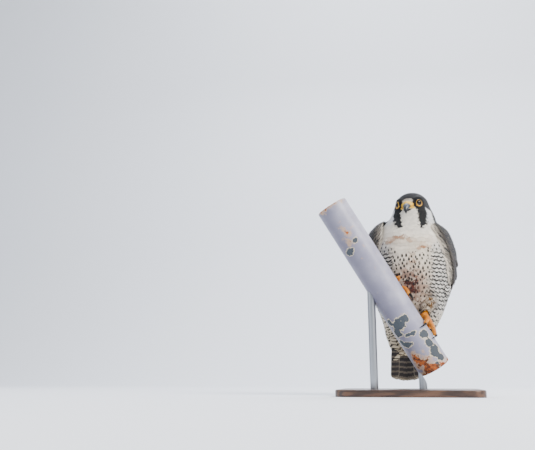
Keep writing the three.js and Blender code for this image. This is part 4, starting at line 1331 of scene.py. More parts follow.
@dataclass(frozen=True)
class Eye:
    """An eyeball and the bare yellow ring round it."""

    name: str
    side: int
    head: HeadForm
    radius: float = 8.6
    opening: float = 5.2
    cornea: float = 0.35
    columns: int = 64
    # The ring's profile: distance from the line of sight, share of the way from ball to head, and height.
    lid_profile: tuple[tuple[float, float, float], ...] = (
        (5.2, 0, -0.3), (5.3, 0, 0.15), (5.6, 0.15, 0.42), (6.0, 0.4, 0.55), (6.5, 0.7, 0.5), (7.0, 0.95, 0.3),
        (7.25, 1, -0.3), (7.0, 1, -1.6), (6.2, 0.6, -2.0), (5.4, 0, -1.3),
    )

    def sight(self) -> tuple[Array, Array, Array]:
        """The eyeball's middle, the line of sight, and directions all the way round it, in the bird's frame."""
        middle = self.head.placed(EYE_AT * [self.side, 1, 1])
        look = unit(gaze(self.side)) @ self.head.axes.T
        level = unit(np.cross(look, [0, 0, 1.0]))
        return middle, look, circle(level, np.cross(level, look), turns(self.columns))

    def ball(self) -> MeshParts:
        """An eyeball: a circle's half turned round the line of sight, with the cornea raised a little.

        Returns:
            The mesh.
        """
        angle = np.linspace(0.02, np.pi - 0.02, 40)[:, None]
        raised = self.radius + self.cornea * np.exp(-(angle / 0.5) ** 2)
        middle, look, around = self.sight()
        off = raised * np.sin(angle)
        grid = middle + off[..., None] * around + (raised * np.cos(angle))[..., None] * look
        return closed_grid(grid, off_axis=np.where(angle < np.pi / 2, off, 20.0))

    def lid(self) -> MeshParts:
        """The ring of bare skin: a rounded profile from the ball out to the head, thinner above.

        Returns:
            The mesh.
        """
        middle, look, around = self.sight()
        thin = 1 - 0.36 * smooth(around[:, 2], -0.1, 1)
        reach, share, rise = (column[:, None] for column in np.array(self.lid_profile).T)
        reach = self.opening + (reach - self.opening) * thin
        edge = np.full(self.columns, 5.0)
        for _ in range(4):
            place = middle + reach.max(0)[:, None] * around + edge[:, None] * look
            edge = (self.head.settle(place) - middle) @ look
        level = mix(math.sqrt(self.radius ** 2 - self.opening ** 2), edge, share) + rise
        grid = middle + reach[..., None] * around + level[..., None] * look
        return MeshParts(grid.reshape(-1, 3), [quads(len(grid), self.columns, around=True, along=True)])

    def build(self, wet: bpy.types.Material, skin: bpy.types.Material) -> None:
        """Adds the eyeball and its ring."""
        self.ball().enter(f"eyeball_{self.name}", "eye", wet, f"eye_{self.name}")
        self.lid().enter(f"orbital_ring_{self.name}", "yellow_skin", skin)


@dataclass(frozen=True)
class Bill:
    """The hooked bill: horn above and below, the yellow cere with its nostrils, and the corners of the mouth."""

    head: HeadForm
    steps: int = 110
    sides: int = 96
    cere_end: float = 3.2
    # The bill is drooped about a point inside its root, given by its reach and height.
    droop: float = math.radians(6)
    pivot: tuple[float, float] = (-26, -4)
    flat: tuple[float, float] = (1, 0.78)
    lower_flat: tuple[float, float] = (0.35, 1)
    nostril: tuple[float, float, float] = (8.7, -31.9, 0.9)
    mouth: tuple[tuple[float, float, float], ...] = (
        (5.6, -38.6, -9.6), (8.0, -36, -9.2), (10.2, -33, -9.0), (12.4, -29.6, -9.2), (14.6, -26.2, -10.4),
    )

    def sweep(self, line: Array, start: float, end: float, flat: tuple[float, float], grow: Array) -> Array:
        """Rings down a middle line: ellipses square to the line, flatter above or below, all drooped a little.

        Args:
            line: the line with half widths and half heights.
            start: the place in the line where the rings begin.
            end: the place where they end.
            flat: how much of the half height the rings have above and below.
            grow: what is added to each ring's size.

        Returns:
            The grid of points in the head's own frame.
        """
        place = mix(start, end, np.linspace(0, 1, self.steps) ** 0.85)
        ahead, behind = row_at(line, np.minimum(place + 0.05, end)), row_at(line, np.maximum(place - 0.05, 0))
        slope = np.arctan2(ahead[:, 1] - behind[:, 1], -(ahead[:, 0] - behind[:, 0]))[:, None]
        reach, level, wide, high = row_at(line, place).T[..., None]
        turn = self.around()
        narrow = 1 - 0.24 * np.clip(np.sin(turn), 0, 1) ** 2
        across = np.maximum(wide + grow[:, None], 0) * np.cos(turn) * narrow
        rise = np.maximum(high + grow[:, None], 0) * np.sin(turn) * np.where(np.sin(turn) > 0, *flat)
        root, height = self.pivot
        y, z = reach + rise * np.sin(slope) - root, level + rise * np.cos(slope) - height
        cos, sin = math.cos(self.droop), math.sin(self.droop)
        return table(across, y * cos - z * sin + root, y * sin + z * cos + height)

    def around(self) -> Array:
        """The angles of a ring's points."""
        return turns(self.sides) + np.pi / self.sides

    def cere(self) -> MeshParts:
        """The cere: the bill's root, a little swollen, with a round nostril that holds a cone, and painted shade in its
        opening.

        Returns:
            The mesh.
        """
        t = np.linspace(0, 1, self.steps)
        swell = 0.8 * np.sin(np.pi * (0.1 + 0.8 * t)) ** 0.7 * (1 - 0.75 * t ** 5) - 0.6 * t ** 8
        grid = self.sweep(UPPER_BILL, 0, self.cere_end + 0.1, self.flat, swell)
        hole = np.zeros(grid.shape[:2])
        for side in (-1, 1):
            nearest = span(grid - np.array(self.nostril) * [side, 1, 1])
            gap = span(grid - grid.reshape(-1, 3)[nearest.argmin()])
            depth = 1.1 * np.exp(-(gap / 1.4) ** 4) - 0.35 * np.exp(-((gap - 2.2) / 0.6) ** 2)
            cone = np.exp(-(gap / 0.5) ** 2)
            grid = grid + (depth - 0.5 * cone)[..., None] * unit(np.array([-side, 0.25, -0.3]))
            # Painted shade in the nostril's opening, lighter on its cone.
            hole = np.maximum(hole, np.exp(-(gap / 1.5) ** 6) * (1 - 0.5 * np.exp(-(gap / 0.45) ** 2)))
        return closed_grid(self.head.placed(grid), hole=hole)

    def horn(self, line: Array, start: float, flat: tuple[float, float], notch: float) -> MeshParts:
        """A horn half of the bill from a place in its line to the tip, with a notch behind the hook.

        Args:
            line: the line with half widths and half heights.
            start: the place in the line where the horn begins.
            flat: how much of the half height the rings have above and below.
            notch: the notch's depth.

        Returns:
            The mesh.
        """
        along = np.linspace(0, 1, self.steps) ** 0.85
        grid = self.sweep(line, start, len(line) - 1.0, flat, -bool(notch) * (1 - along) ** 1.5)
        lower = np.clip(-np.sin(self.around()), 0, 1) ** 0.5
        tooth = notch * (np.exp(-((along - 0.5) / 0.05) ** 2) - np.exp(-((along - 0.39) / 0.05) ** 2))
        grid[..., 2] += tooth[:, None] * lower
        return closed_grid(self.head.placed(grid), along=along[:, None])

    def gape(self, side: int) -> MeshParts:
        """The fleshy corner of the mouth: a thin tube from under the cere back below the eye."""
        t = np.linspace(0, 1, 40)
        path = row_at(np.array(self.mouth) * [side, 1, 1], 4 * t)
        radii = mix(1.3, 2.1, t) * np.sin(np.pi * mix(0.1, 0.9, t)) ** 0.6
        return closed_grid(self.head.placed(tube(path, radii, [0.0, 0, 1], 16)), hole=0.0)

    def build(self) -> None:
        """Adds the cere with the mouth's corners, and both halves of the bill."""
        horn = HornFinish("bill_horn").build()
        skin = ScaledSkinFinish("cere_skin", "#e2b900", "#cf9500", "#b08004", 0.6, 0.12).build()
        joined([self.cere(), self.gape(1), self.gape(-1)]).enter("cere_and_gape", "yellow_skin", skin, "cere")
        self.horn(UPPER_BILL, self.cere_end, self.flat, 0.7).enter("upper_bill_horn", "horn", horn, "bill_upper")
        self.horn(LOWER_BILL, 0, self.lower_flat, 0).enter("lower_bill_horn", "horn", horn, "bill_lower")


# ---- Coat


@dataclass(frozen=True)
class Region:
    """Rows of small feathers: their top and bottom, how far apart they are, and the feathers in front and behind."""

    top: float
    bottom: float
    rows: float
    front: float
    flank: float


@dataclass(frozen=True)
class Coat:
    """The small feathers of head, neck, breast, belly, flanks and undertail."""

    form: PlumageForm
    markings: Markings
    head_count: int = 7400
    bill_root: tuple[float, float, float] = (0.0, -31.0, -4.0)

    @staticmethod
    def wing_cover(height: Array, turn: Array) -> Array:
        """How far inside the wings' cover a place is, in degrees, negative where it is open."""
        row, angle = WING.at(height), np.degrees(turn)
        around = np.where(np.cos(turn) > 0, angle, np.where(angle > 0, 180 - angle, -180 - angle))
        return np.where(height < 322, np.minimum(around - row[..., 6], row[..., 7] - around), -90)

    def in_rows(self, region: Region) -> tuple[Array, ...]:
        """Roots in level rows, each row shifted half a place from the last, wider apart on the flanks.

        Args:
            region: where the rows are and how far apart.

        Returns:
            The roots, their heights, their angles round the body and how many degrees each is from the front.
        """
        found, angle = [], np.radians(np.linspace(0, 180, 361))
        apart = mix(region.front, region.flank, smooth(np.degrees(angle[1:]), 30, 48))
        for index, height in enumerate(np.arange(region.top, region.bottom, -region.rows)):
            arc = span(np.diff(self.form.body.point(np.full(361, height), angle - np.pi / 2), axis=0))
            count = np.append(0, np.cumsum(arc / apart))
            away = np.interp(np.arange(0.5 * (index % 2), count[-1], 1.0), count, angle)
            both = np.append(away, -away[away > 0]) - np.pi / 2
            found.append(self.form.body.point(np.full(len(both), height), both))
        roots = np.concatenate(found)
        height, turn, _ = self.form.body.polar(roots)
        return roots, height, turn, np.abs((np.degrees(turn) + 270) % 360 - 180)

    def lay(self, roots: Array, wish: Array, length: Array, width: Array) -> Lay:
        """Settles feathers on the plumage's form and reads their markings at their tips.

        Args:
            roots: where they should stand.
            wish: the direction that each should point in.
            length: their lengths.
            width: their widths.

        Returns:
            The feathers.
        """
        ground, along, sideways = lay_out(self.form, roots, wish)
        tint, marks = self.markings.at(self.form.settle(ground + along * (length * 0.8)[:, None]))
        height, turn, _ = self.form.body.polar(ground)
        patch = table((turn / (2 * np.pi)) % 1, np.clip((height - 70) / 310, 0, 1)) * 0.98 + 0.01
        return Lay(length, width, tint, marks, patch, ground, along, sideways)

    def body_lay(self, region: Region, seed: int) -> Lay:
        """The body's small feathers between two heights, without those that the wings cover.

        Args:
            region: where their rows are and how far apart.
            seed: for the small random differences.

        Returns:
            The feathers, which point down and a little outwards.
        """
        rng = np.random.default_rng(seed)
        roots, height, turn, side = self.in_rows(region)
        open_now = self.wing_cover(height, turn) < 20
        roots, height, side = roots[open_now], height[open_now], side[open_now]
        barred = smooth(side, 26, 40)
        roots = roots + rng.normal(0, 1, roots.shape) * mix(0.2, 0.02, barred)[:, None] * region.rows
        middle = self.form.body.rings.at(height)
        outward = unit(table(roots[:, 0] - middle[:, 1], roots[:, 1] - middle[:, 2], 0))
        wish = unit(self.form.body.settle(roots - [0, 0, 4.0]) - roots) + 0.10 * outward
        length = mix(2.2, 2.4, barred) * (1 + mix(0.08, 0.02, barred) * rng.uniform(-1, 1, len(roots)))
        width = mix(region.front, region.flank, smooth(side, 30, 48)) * 1.7 * rng.uniform(0.95, 1.05, len(roots))
        return self.lay(roots, wish, region.rows * length, width)

    def over_wing(self, side: int) -> MeshParts:
        """The flank's long feathers, which spread over the front edge of the folded wing below its bend.

        Args:
            side: 1 for the bird's left and -1 for its right.

        Returns:
            The mesh.
        """
        rng = np.random.default_rng(150 + side)
        wing, found = WingForm(side), []
        for index, height in enumerate(np.arange(196, 116, -7.0)):
            row = WING.at(height)
            apart = math.degrees(10.5 / math.hypot(row[3] * 0.5, row[5] * 0.85))
            last = np.interp(height, [118, 150, 175, 196], [37, 23, 11, 0])
            found.append(table(height, np.arange(row[6] - 18 + apart * 0.5 * (index % 2), last, apart)))
        height, angle = (np.concatenate(found) + rng.normal(0, 0.4, (sum(map(len, found)), 2))).T
        length = 17.5 * rng.uniform(0.96, 1.08, len(height))
        ground, along, sideways = lay_out(wing, wing.point(height, np.radians(angle), -2.0), [0.0, 0.12, -1])
        marks = self.markings.at(self.form.body.settle(ground))[1]
        marks[:, :3] = [0, 1, 0]
        tint = Ground.FLANK.rgb * rng.uniform(0.9, 1.05, (len(height), 1))
        patch = table((angle + 90) / 180, (height - 90) / 130) * 0.4 + 0.02 + 0.5 * (side > 0)
        patch = np.clip(patch, 0.01, 0.99)
        lay = Lay(length, np.full(len(height), 17.0), tint, marks, patch, ground, along, sideways)
        return Tuft(barbs=11, sink=3.0, rise=0.9).build(wing, lay, 151 + side)

    def undertail(self) -> MeshParts:
        """The undertail coverts: long soft blades in rows, each with a few dark chevrons.

        Returns:
            The mesh.
        """
        rng = np.random.default_rng(41)
        roots, _, _, side = self.in_rows(Region(156, 84, 8.6, 10, 11))
        roots = roots[side < 122]
        roots = roots + rng.normal(0, 0.5, roots.shape)
        wish = self.form.body.settle(roots - [0, 0, 5.0]) - roots
        lay = self.lay(roots, wish, 27 * rng.uniform(0.92, 1.1, len(roots)), np.full(len(roots), 16.5))
        lay.marks[:, :3] = [0, 1, 0]
        vane = Vane(rows=9, columns=7, roundness=0.6, thick=0.25, camber=0.4, ragged=0.07)
        return vane.build(on_form(self.form.body, lay), -1.2, 1.4, lay, 42)

    def head_lay(self) -> Lay:
        """The head's feathers, spread by the golden angle: they stream away from the bill and down the cheeks.

        Returns:
            The feathers.
        """
        rng = np.random.default_rng(3)
        number = np.arange(self.head_count) + 0.5
        rise = np.arcsin(1 - 1.72 * number / self.head_count)
        azimuth = number * math.pi * (3 - math.sqrt(5)) % (2 * math.pi) - math.pi
        roots = self.form.head.settle(self.form.head.placed(HeadForm.way(azimuth, rise) * 30))
        local = self.form.head.local(roots)
        down = smooth(-local[:, 2], -2, 16) * (1 - 0.55 * smooth(local[:, 1], -5, 20))
        wish = blend(unit(local - self.bill_root), np.array([0, 0.15, -1.0]), 0.72 * down) @ self.form.head.axes.T
        far = smooth(span(local - [0, -32, -2]), 9, 44)
        lay = self.lay(roots, wish, mix(2.4, 6.6, far) * rng.uniform(0.9, 1.12, len(roots)), mix(1.4, 3.1, far))
        return lay.kept(self.clear_of_face(lay) & (roots[:, 2] > 322))

    def clear_of_face(self, lay: Lay) -> Array:
        """Which feathers stay clear of the eyes, the cere and the mouth, from root to tip.

        Args:
            lay: the feathers.

        Returns:
            True for each that does.
        """
        clear = np.ones(len(lay.roots), bool)
        for share in (0, 0.5, 1):
            local = self.form.head.local(lay.roots + lay.along * (lay.length * share)[:, None])
            x, y, z = local.T
            clear &= ~((y < -22) & (np.abs(x) < 12.2) & (z < 6.2) & (z > -12.5))
            for side in (-1, 1):
                off = local - EYE_AT * [side, 1, 1]
                ahead = off @ gaze(side)
                square = off - ahead[:, None] * gaze(side)
                gap = span(square)
                clear &= (gap > 7.2 + 0.2 * share - 0.9 * smooth(square[:, 2] / gap, 0, 1)) | (ahead < 0)
        return clear

    def build(self) -> None:
        """Adds the coat's pieces, whose barbs are shaded flat so that they blend."""
        soft = PlumageFinish("breast_feathers").build()
        head = PlumageFinish("head_feathers", barbs=0.9, barb_depth=0.3, wander=0.6, sheen=0.03).build()
        tail = PlumageFinish("undertail_feathers", period=8.5, first=3.6, share=0.3, shaft=0.25).build()
        fine = Tuft(barbs=3, shorten=0.2, barb_width=2.4, thick=0.12, sink=0.5, rise=0.5, spread=0.3, camber=0.1)
        short = Tuft(barbs=5, rise=0.5, sink=0.5, camber=0.3)
        face, neck = self.head_lay(), self.body_lay(Region(338, 296, 3.5, 3.8, 4.6), 11)
        body = self.body_lay(Region(298, 118, 7.0, 7.8, 10.5), 21)
        _, y, z = self.form.head.local(face.roots).T
        high = body.roots[:, 2] > 232
        for name, tuft, lay, seed, slot, finish, *nodes in (
            ("crown_coat", fine, face.kept(z > 10), 5, "head_plumage", head, "head"),
            ("face_coat", fine, face.kept((z <= 10) & (y < -2)), 6, "head_plumage", head),
            ("nape_coat", fine, face.kept((z <= 10) & (y >= -2)), 7, "head_plumage", head),
            ("neck_coat", short, neck, 12, "breast_plumage", soft, "neck"),
            ("breast_coat", Tuft(), body.kept(high), 22, "breast_plumage", soft),
            ("belly_coat", Tuft(rise=0.95), body.kept(~high), 32, "breast_plumage", soft),
        ):
            tuft.build(self.form, lay, seed).enter(name, slot, finish, *nodes, flat=True)
        flanks = joined([self.over_wing(1), self.over_wing(-1)])
        flanks.enter("flank_coat", "breast_plumage", soft, flat=True)
        self.undertail().enter("undertail_coat", "barred_plumage", tail, "tail_coverts", flat=True)


# ---- Legs


SPAR_RADIUS = 28.5
SPAR_LENGTH = 338.0
SPAR_SLOPE = math.radians(59.7)
SPAR_DEPTH_SLOPE = math.radians(10)
SPAR_END = np.array([29.9, -36.6, 48.6])
SPAR_UP = np.array([-math.cos(SPAR_SLOPE) * math.cos(SPAR_DEPTH_SLOPE), -math.sin(SPAR_DEPTH_SLOPE),
                    math.sin(SPAR_SLOPE) * math.cos(SPAR_DEPTH_SLOPE)])
SPAR_SIDE = np.array([math.sin(SPAR_SLOPE), 0, math.cos(SPAR_SLOPE)])
SPAR_BACK = unit(np.cross(SPAR_UP, SPAR_SIDE))
# Feet and claws stand this far off the spar, as the solids do.
CLEARANCE = 0.35


def spar_ray(around: Array) -> Array:
    """The direction straight out of the spar at an angle round it, from its upper side towards the back."""
    return circle(SPAR_SIDE, SPAR_BACK, np.radians(around))


def on_spar(station: Array, around: Array, out: Array) -> Array:
    """Points by distance up the spar, angle round it and distance from its surface."""
    station, out = np.asarray(station)[..., None], np.asarray(SPAR_RADIUS + out)[..., None]
    return SPAR_END + station * SPAR_UP + out * spar_ray(around)


@dataclass(frozen=True)
class Toe:
    """A toe's reach along the spar and round it, its thickness and arch, and its claw's length and reaches."""

    name: str
    along: float
    around: float
    thick: float
    thin: float
    arch: float
    claw: tuple[float, float, float]


@dataclass(frozen=True)
class Leg:
    """A shank and foot that grip the spar, with the feathered thigh above."""

    name: str
    side: int
    station: float
    around: float
    toes: tuple[Toe, ...]
    sides: int = 28
    # The ball of the foot: how far its middle is off the spar, and its half width and half height.
    ball_out: float = 7.6
    ball_size: tuple[float, float] = (6.8, 6.2)
    # The lengths of a scute and of a toe's joint.
    scute: float = 2.6
    joint: float = 9.5

    def toe_path(self, toe: Toe, t: Array) -> tuple[Array, Array, Array, Array]:
        """The middle line of a toe: along and round the spar, arched off it.

        Args:
            toe: the toe.
            t: shares of its length.

        Returns:
            The points, with the toe's radius, station and angle at each.
        """
        station, around = self.station + toe.along * t, self.around + toe.around * t
        radius = mix(toe.thick, toe.thin, t)
        lift = toe.arch * np.sin(np.pi * np.minimum(1, t * 1.06)) + 3.2 * (1 - np.minimum(1, 2.5 * t))
        return on_spar(station, around, CLEARANCE + 1.06 * radius + lift), radius, station, around

    def toe(self, toe: Toe) -> MeshParts:
        """A toe with broad scutes over its top and a soft pad under each joint, closed round its tip.

        Args:
            toe: the toe.

        Returns:
            The mesh.
        """
        t = np.linspace(0, 1, 120)
        path, radius, _, around = self.toe_path(toe, t)
        length, up = span(np.diff(path, axis=0)).sum(), np.sin(turns(self.sides))
        scutes = 0.32 * np.abs(np.sin(np.pi * t * length / self.scute)) ** 0.5
        pads = 0.45 * np.sin(np.pi * t * length / self.joint) ** 2
        swell = scutes[:, None] * np.clip(up, 0, 1) ** 0.6 + pads[:, None] * np.clip(-up, 0, 1) ** 1.5 - 0.15
        end = np.sqrt(np.clip(1 - np.clip((t - 0.9) / 0.1, 0, 1) ** 2, 0.03, 1))
        swell = (radius[:, None] + swell) * end[:, None] - radius[:, None]
        return closed_grid(tube(path, radius, spar_ray(around), self.sides, swell))

    def claw(self, toe: Toe) -> MeshParts:
        """A claw: it arches from the toe's end out and down, and tapers to a point that nearly meets the spar.

        Args:
            toe: its toe.

        Returns:
            The mesh.
        """
        t = np.linspace(0, 1, 48)
        _, radius, station, around = self.toe_path(toe, 1.0)
        length, along, turn = toe.claw
        reach = mix(-2.5, length, t) / math.hypot(along, math.radians(turn) * SPAR_RADIUS)
        height = mix(radius, 0, t ** 1.4) + CLEARANCE + 3 * np.sin(np.pi * t ** 0.9)
        path = on_spar(station + along * reach, around + turn * reach, CLEARANCE + height)
        radii = mix(2.4, 0.35, t ** 1.15) * np.sqrt(np.clip(1 - t ** 8, 0.01, 1))
        return closed_grid(tube(path, radii, spar_ray(around + turn * reach), 20), along=0.3 + t[:, None])

    def ball(self) -> MeshParts:
        """The ball of the foot: a sphere a little flattened against the spar."""
        out, rise = spar_ray(self.around), np.linspace(0.03, np.pi - 0.03, 24)[:, None, None]
        ring = circle(SPAR_UP, unit(np.cross(out, SPAR_UP)), turns(self.sides))
        middle = on_spar(self.station, self.around, self.ball_out)
        wide, high = self.ball_size
        return closed_grid(middle + np.sin(rise) * ring * wide + np.cos(rise) * out * high)

    def ankle(self) -> tuple[Array, Array]:
        """The shank's lower and upper end."""
        foot = on_spar(self.station, self.around, self.ball_out)
        return on_spar(self.station, self.around, 9.0), np.array([self.side * 24, foot[1] + 30, foot[2] + 30])

    def shank(self) -> MeshParts:
        """The bare shank, with small steps down its front where its scales overlap.

        Returns:
            The mesh.
        """
        low, high = self.ankle()
        t = np.linspace(0, 1, 90)
        radii = np.interp(t, np.linspace(0, 1, 6), [4.9, 4.1, 3.9, 4.0, 4.4, 5.2])
        steps = 0.2 * np.abs(np.sin(np.pi * t * 42 / 2.4)) ** 0.5
        swell = steps[:, None] * np.clip(np.sin(turns(self.sides)), 0, 1) ** 0.5
        return closed_grid(tube(low + t[:, None] * (high - low), radii, [0.0, -1, 0.3], self.sides, swell))

    def thigh(self) -> ShankForm:
        """The thigh's form, from the cuff above the foot into the belly."""
        low, high = self.ankle()
        cuff = low + 0.34 * (high - low)
        return ShankForm(cuff, np.array([self.side * 30.0, 8.0, cuff[2] + 42]), (7, 12, 16, 19, 21, 22, 20))

    def thigh_skin(self) -> MeshParts:
        """The thigh under its feathers: a tube a coat's depth inside its form."""
        form, t = self.thigh(), np.linspace(0, 1, 30)
        return closed_grid(tube(mix(form.start, form.end, t[:, None]), form.radius(t) - 1.2, [0.0, 1, 0], 48))

    def trousers(self, markings: Markings) -> MeshParts:
        """The thigh's feathers: rings of tufts that point down the limb, longer at the cuff.

        Args:
            markings: gives their colours.

        Returns:
            The mesh.
        """
        rng = np.random.default_rng(60 + self.side)
        form, rings, around = self.thigh(), 13, 16
        axis = unit(form.end - form.start)
        level = unit(np.cross(axis, [0, 1.0, 0]))
        share, turn = pairs(np.linspace(0.06, 1, rings), turns(around))
        turn = turn + (np.arange(rings) % 2)[:, None] * np.pi / around
        radial = circle(level, np.cross(axis, level), turn)
        roots = (mix(form.start, form.end, share[..., None]) + radial * 5).reshape(-1, 3)
        length = rng.uniform(13, 17, len(roots))
        width = np.interp(share.ravel(), [0, 0.4, 1], [5.5, 10, 11.5])
        ground, along, sideways = lay_out(form, roots, np.broadcast_to(-axis + [0, 0, -0.25], roots.shape))
        tint, marks = markings.at(ground + along * (length * 0.8)[:, None])
        marks[:, 0], marks[:, 1] = 1.1, 0
        patch = table((turn.ravel() / (2 * np.pi)) % 1, share.ravel()) * 0.98 + 0.01
        lay = Lay(length, width, tint, marks, patch, ground, along, sideways)
        return Tuft(barbs=9, rise=1.4, loose=0.5, shorten=0.5, uneven=2).build(form, lay, 61 + self.side)

    def build(self, skin: bpy.types.Material, horn: bpy.types.Material, soft: bpy.types.Material,
              markings: Markings) -> None:
        """Adds the leg's pieces.

        Args:
            skin: the finish of toes and shank.
            horn: the finish of the claws.
            soft: the finish of the thigh's feathers.
            markings: gives the feathers' colours.
        """
        foot = joined([self.ball(), *(self.toe(toe) for toe in self.toes)])
        foot.enter(f"toes_{self.name}", "yellow_skin", skin, f"foot_{self.name}")
        self.shank().enter(f"shank_{self.name}", "yellow_skin", skin, f"tarsus_{self.name}")
        nodes = [f"claw_{self.name}_{toe.name}" for toe in self.toes]
        joined([self.claw(toe) for toe in self.toes]).enter(f"talons_{self.name}", "claw", horn, *nodes)
        thigh = self.trousers(markings)
        thigh.enter(f"thigh_coat_{self.name}", "breast_plumage", soft, f"thigh_{self.name}", flat=True)


# ---- Wings, back and tail


@dataclass(frozen=True)
class Tier:
    """A row of wing feathers: first and last root and tip as height and share across, sizes and layers."""

    name: str
    count: int
    width: float
    roots: tuple[tuple[float, float], tuple[float, float]]
    tips: tuple[tuple[float, float], tuple[float, float]]
    low: float
    high: float
    step: float
    roll: float
    tint: Ground
    bar: float
    edge: float


WING_TIERS = (
    Tier("primaries", 11, 18, ((194, 0.1), (190, 0.84)), ((42, 0.44), (122, 0.86)), -7.4, -5, 0.66, 0.1,
         Ground.FLIGHT, 0.15, 0.22),
    Tier("primary_coverts", 7, 13, ((226, 0.03), (216, 0.3)), ((176, 0.04), (186, 0.34)), -3, 0.6, 0.12, 0.5,
         Ground.WING, 0.1, 0.35),
    Tier("secondaries", 12, 19, ((222, 0.2), (214, 0.95)), ((184, 0.26), (144, 0.9)), -2.6, 1.2, 0.12, 0.6,
         Ground.WING, 0.45, 0.4),
    Tier("greater_coverts", 13, 15, ((246, 0.1), (238, 0.96)), ((212, 0.13), (188, 0.93)), -2.4, 1.9, 0.04, 0.6,
         Ground.WING, 0.5, 0.5),
    Tier("median_coverts", 13, 15, ((266, 0.07), (258, 0.97)), ((238, 0.08), (220, 0.95)), -2.2, 2.2, 0.02, 0.5,
         Ground.WING_GREY, 0.5, 0.55),
)


@dataclass(frozen=True)
class Wing:
    """One folded wing: flight feathers under coverts in rows, and small coverts up to the shoulder."""

    name: str
    form: WingForm
    seed: int
    # How far apart the rows of small coverts are, and the feathers in a row.
    row_gap: float = 5.2
    column_gap: float = 7.5

    def laid(self, vane: Vane, roots: Array, tips: Array, width: Array, tint: Array, marks: Array, low: Array,
             high: Array, seed: int) -> MeshParts:
        """Lays feathers given by root and tip, and measures their lengths along the wing's surface.

        Args:
            vane: the feathers' shape.
            roots: height and share across of each root.
            tips: height and share across of each tip.
            width: their widths.
            tint: their colours.
            marks: their marks.
            low: the roots' heights over the wing's form.
            high: the tips' heights over it.
            seed: for the ragged tips.

        Returns:
            The mesh.
        """
        surface = self.form.feather(roots, tips)
        length = span(np.diff(surface(np.linspace(0, 1, 9)[:, None], 0.0, 0.0)[:, :, 0], axis=1)).sum(1)
        patch = table(roots[:, 1], (roots[:, 0] - 30) / 300) * 0.96 + 0.02
        lay = Lay(length, np.broadcast_to(width, length.shape), tint, marks, patch)
        return vane.build(surface, low, high, lay, seed)

    def tier(self, number: int) -> MeshParts:
        """One row of long feathers, each laid a little above the one before.

        Args:
            number: the row's number.

        Returns:
            The mesh.
        """
        tier, rng = WING_TIERS[number], np.random.default_rng(self.seed + number)
        share = np.linspace(0, 1, tier.count)[:, None]
        roots, tips = (mix(*np.array(ends), share) for ends in (tier.roots, tier.tips))
        tips = tips + rng.uniform(-1, 1, tips.shape) * [1.5, 0.012]
        tint = tier.tint.rgb * rng.uniform(0.86, 1.14, (tier.count, 1))
        marks = table(0, tier.bar, tier.edge, rng.uniform(0, 1, tier.count))
        lift = tier.step * np.arange(tier.count)
        vane = Vane(rows=20, columns=9, roundness=0.84, thick=0.32, camber=0.4, roll=tier.roll, lean=0.12)
        return self.laid(vane, roots, tips, tier.width, tint, marks, tier.low + lift, tier.high + lift,
                         self.seed + number)

    def small_coverts(self) -> MeshParts:
        """The small coverts from the shoulder down, in rows shifted by half a place, longer towards the back.

        Returns:
            The mesh.
        """
        rng, found = np.random.default_rng(self.seed + 77), []
        for index, height in enumerate(np.arange(321, 251, -self.row_gap)):
            row = WING.at(height)
            count = max(int(np.radians(row[7] - row[6]) * (row[3] + row[5]) / 2 / self.column_gap), 4)
            found.append(table(height, (np.arange(count) + 0.5 * (index % 2)) / count))
        roots = np.concatenate(found)
        roots = roots[(roots[:, 0] < 298) | (roots[:, 1] < 0.84)]
        roots = np.concatenate([roots, table(np.linspace(318, 214, 26), 0.005)])
        roots = roots + rng.normal(0, 1, roots.shape) * [0.5, 0.006]
        height, down = roots[:, 0], smooth(-roots[:, 0], -318, -262)
        tips = roots - table(mix(11, 17, down) * rng.uniform(0.92, 1.08, len(roots)), -0.015)
        front = smooth(-roots[:, 1], -0.5, -0.16)
        tint = blend(Ground.BACK.rgb, Ground.WING.rgb, front) * rng.uniform(0.8, 1.15, (len(roots), 1))
        marks = table(0, 0.5 - 0.3 * front, 0.55 - 0.15 * front, rng.uniform(0, 1, len(roots)))
        low, high = -1.6 - 7.5 * smooth(height, 302, 321), 1.5 - 2.5 * smooth(height, 306, 321)
        vane = Vane(rows=8, columns=5, roundness=0.5, thick=0.25, camber=0.35, ragged=0.04)
        return self.laid(vane, roots, tips, mix(8.5, 12.5, down), tint, marks, low, high, self.seed + 78)

    def edge_coverts(self) -> MeshParts:
        """The smallest coverts, which wrap the wing's front edge down on to the breast in four staggered files.

        Returns:
            The mesh.
        """
        rng = np.random.default_rng(self.seed + 55)
        height = np.concatenate([np.arange(323, 204, -5.5) - 2.7 * (k % 2) for k in range(4)])
        start, outer = np.repeat([[-0.13, -0.08, -0.035, 0.01], [0, 0.35, 0.7, 1]], len(height) // 4, axis=1)
        roots = table(height, start) + rng.normal(0, 1, (len(height), 2)) * [0.7, 0.008]
        tips = roots + table(-11.5 * rng.uniform(0.9, 1.12, len(height)), 0.055)
        pale = 1.0 - 1.9 * outer + 0.25 * rng.normal(size=len(height))
        pale = np.clip(pale, 0, 1) * smooth(-height, -320, -308)
        tint = blend(Ground.WING.rgb, Ground.CREAM.rgb, pale) * rng.uniform(0.75, 1.1, (len(height), 1))
        marks = table(2.1 * (pale > 0.4), 0.3 * (pale < 0.4), 0.75 * (pale < 0.6), rng.uniform(0, 1, len(height)))
        sink = mix(-7.5, -1.8, outer) - 3.5 * outer * smooth(height, 300, 320)
        vane = Vane(rows=7, columns=5, roundness=0.45, thick=0.22, camber=0.3, ragged=0.06)
        return self.laid(vane, roots, tips, 9.0, tint, marks, sink, sink + 2.9, self.seed + 56)

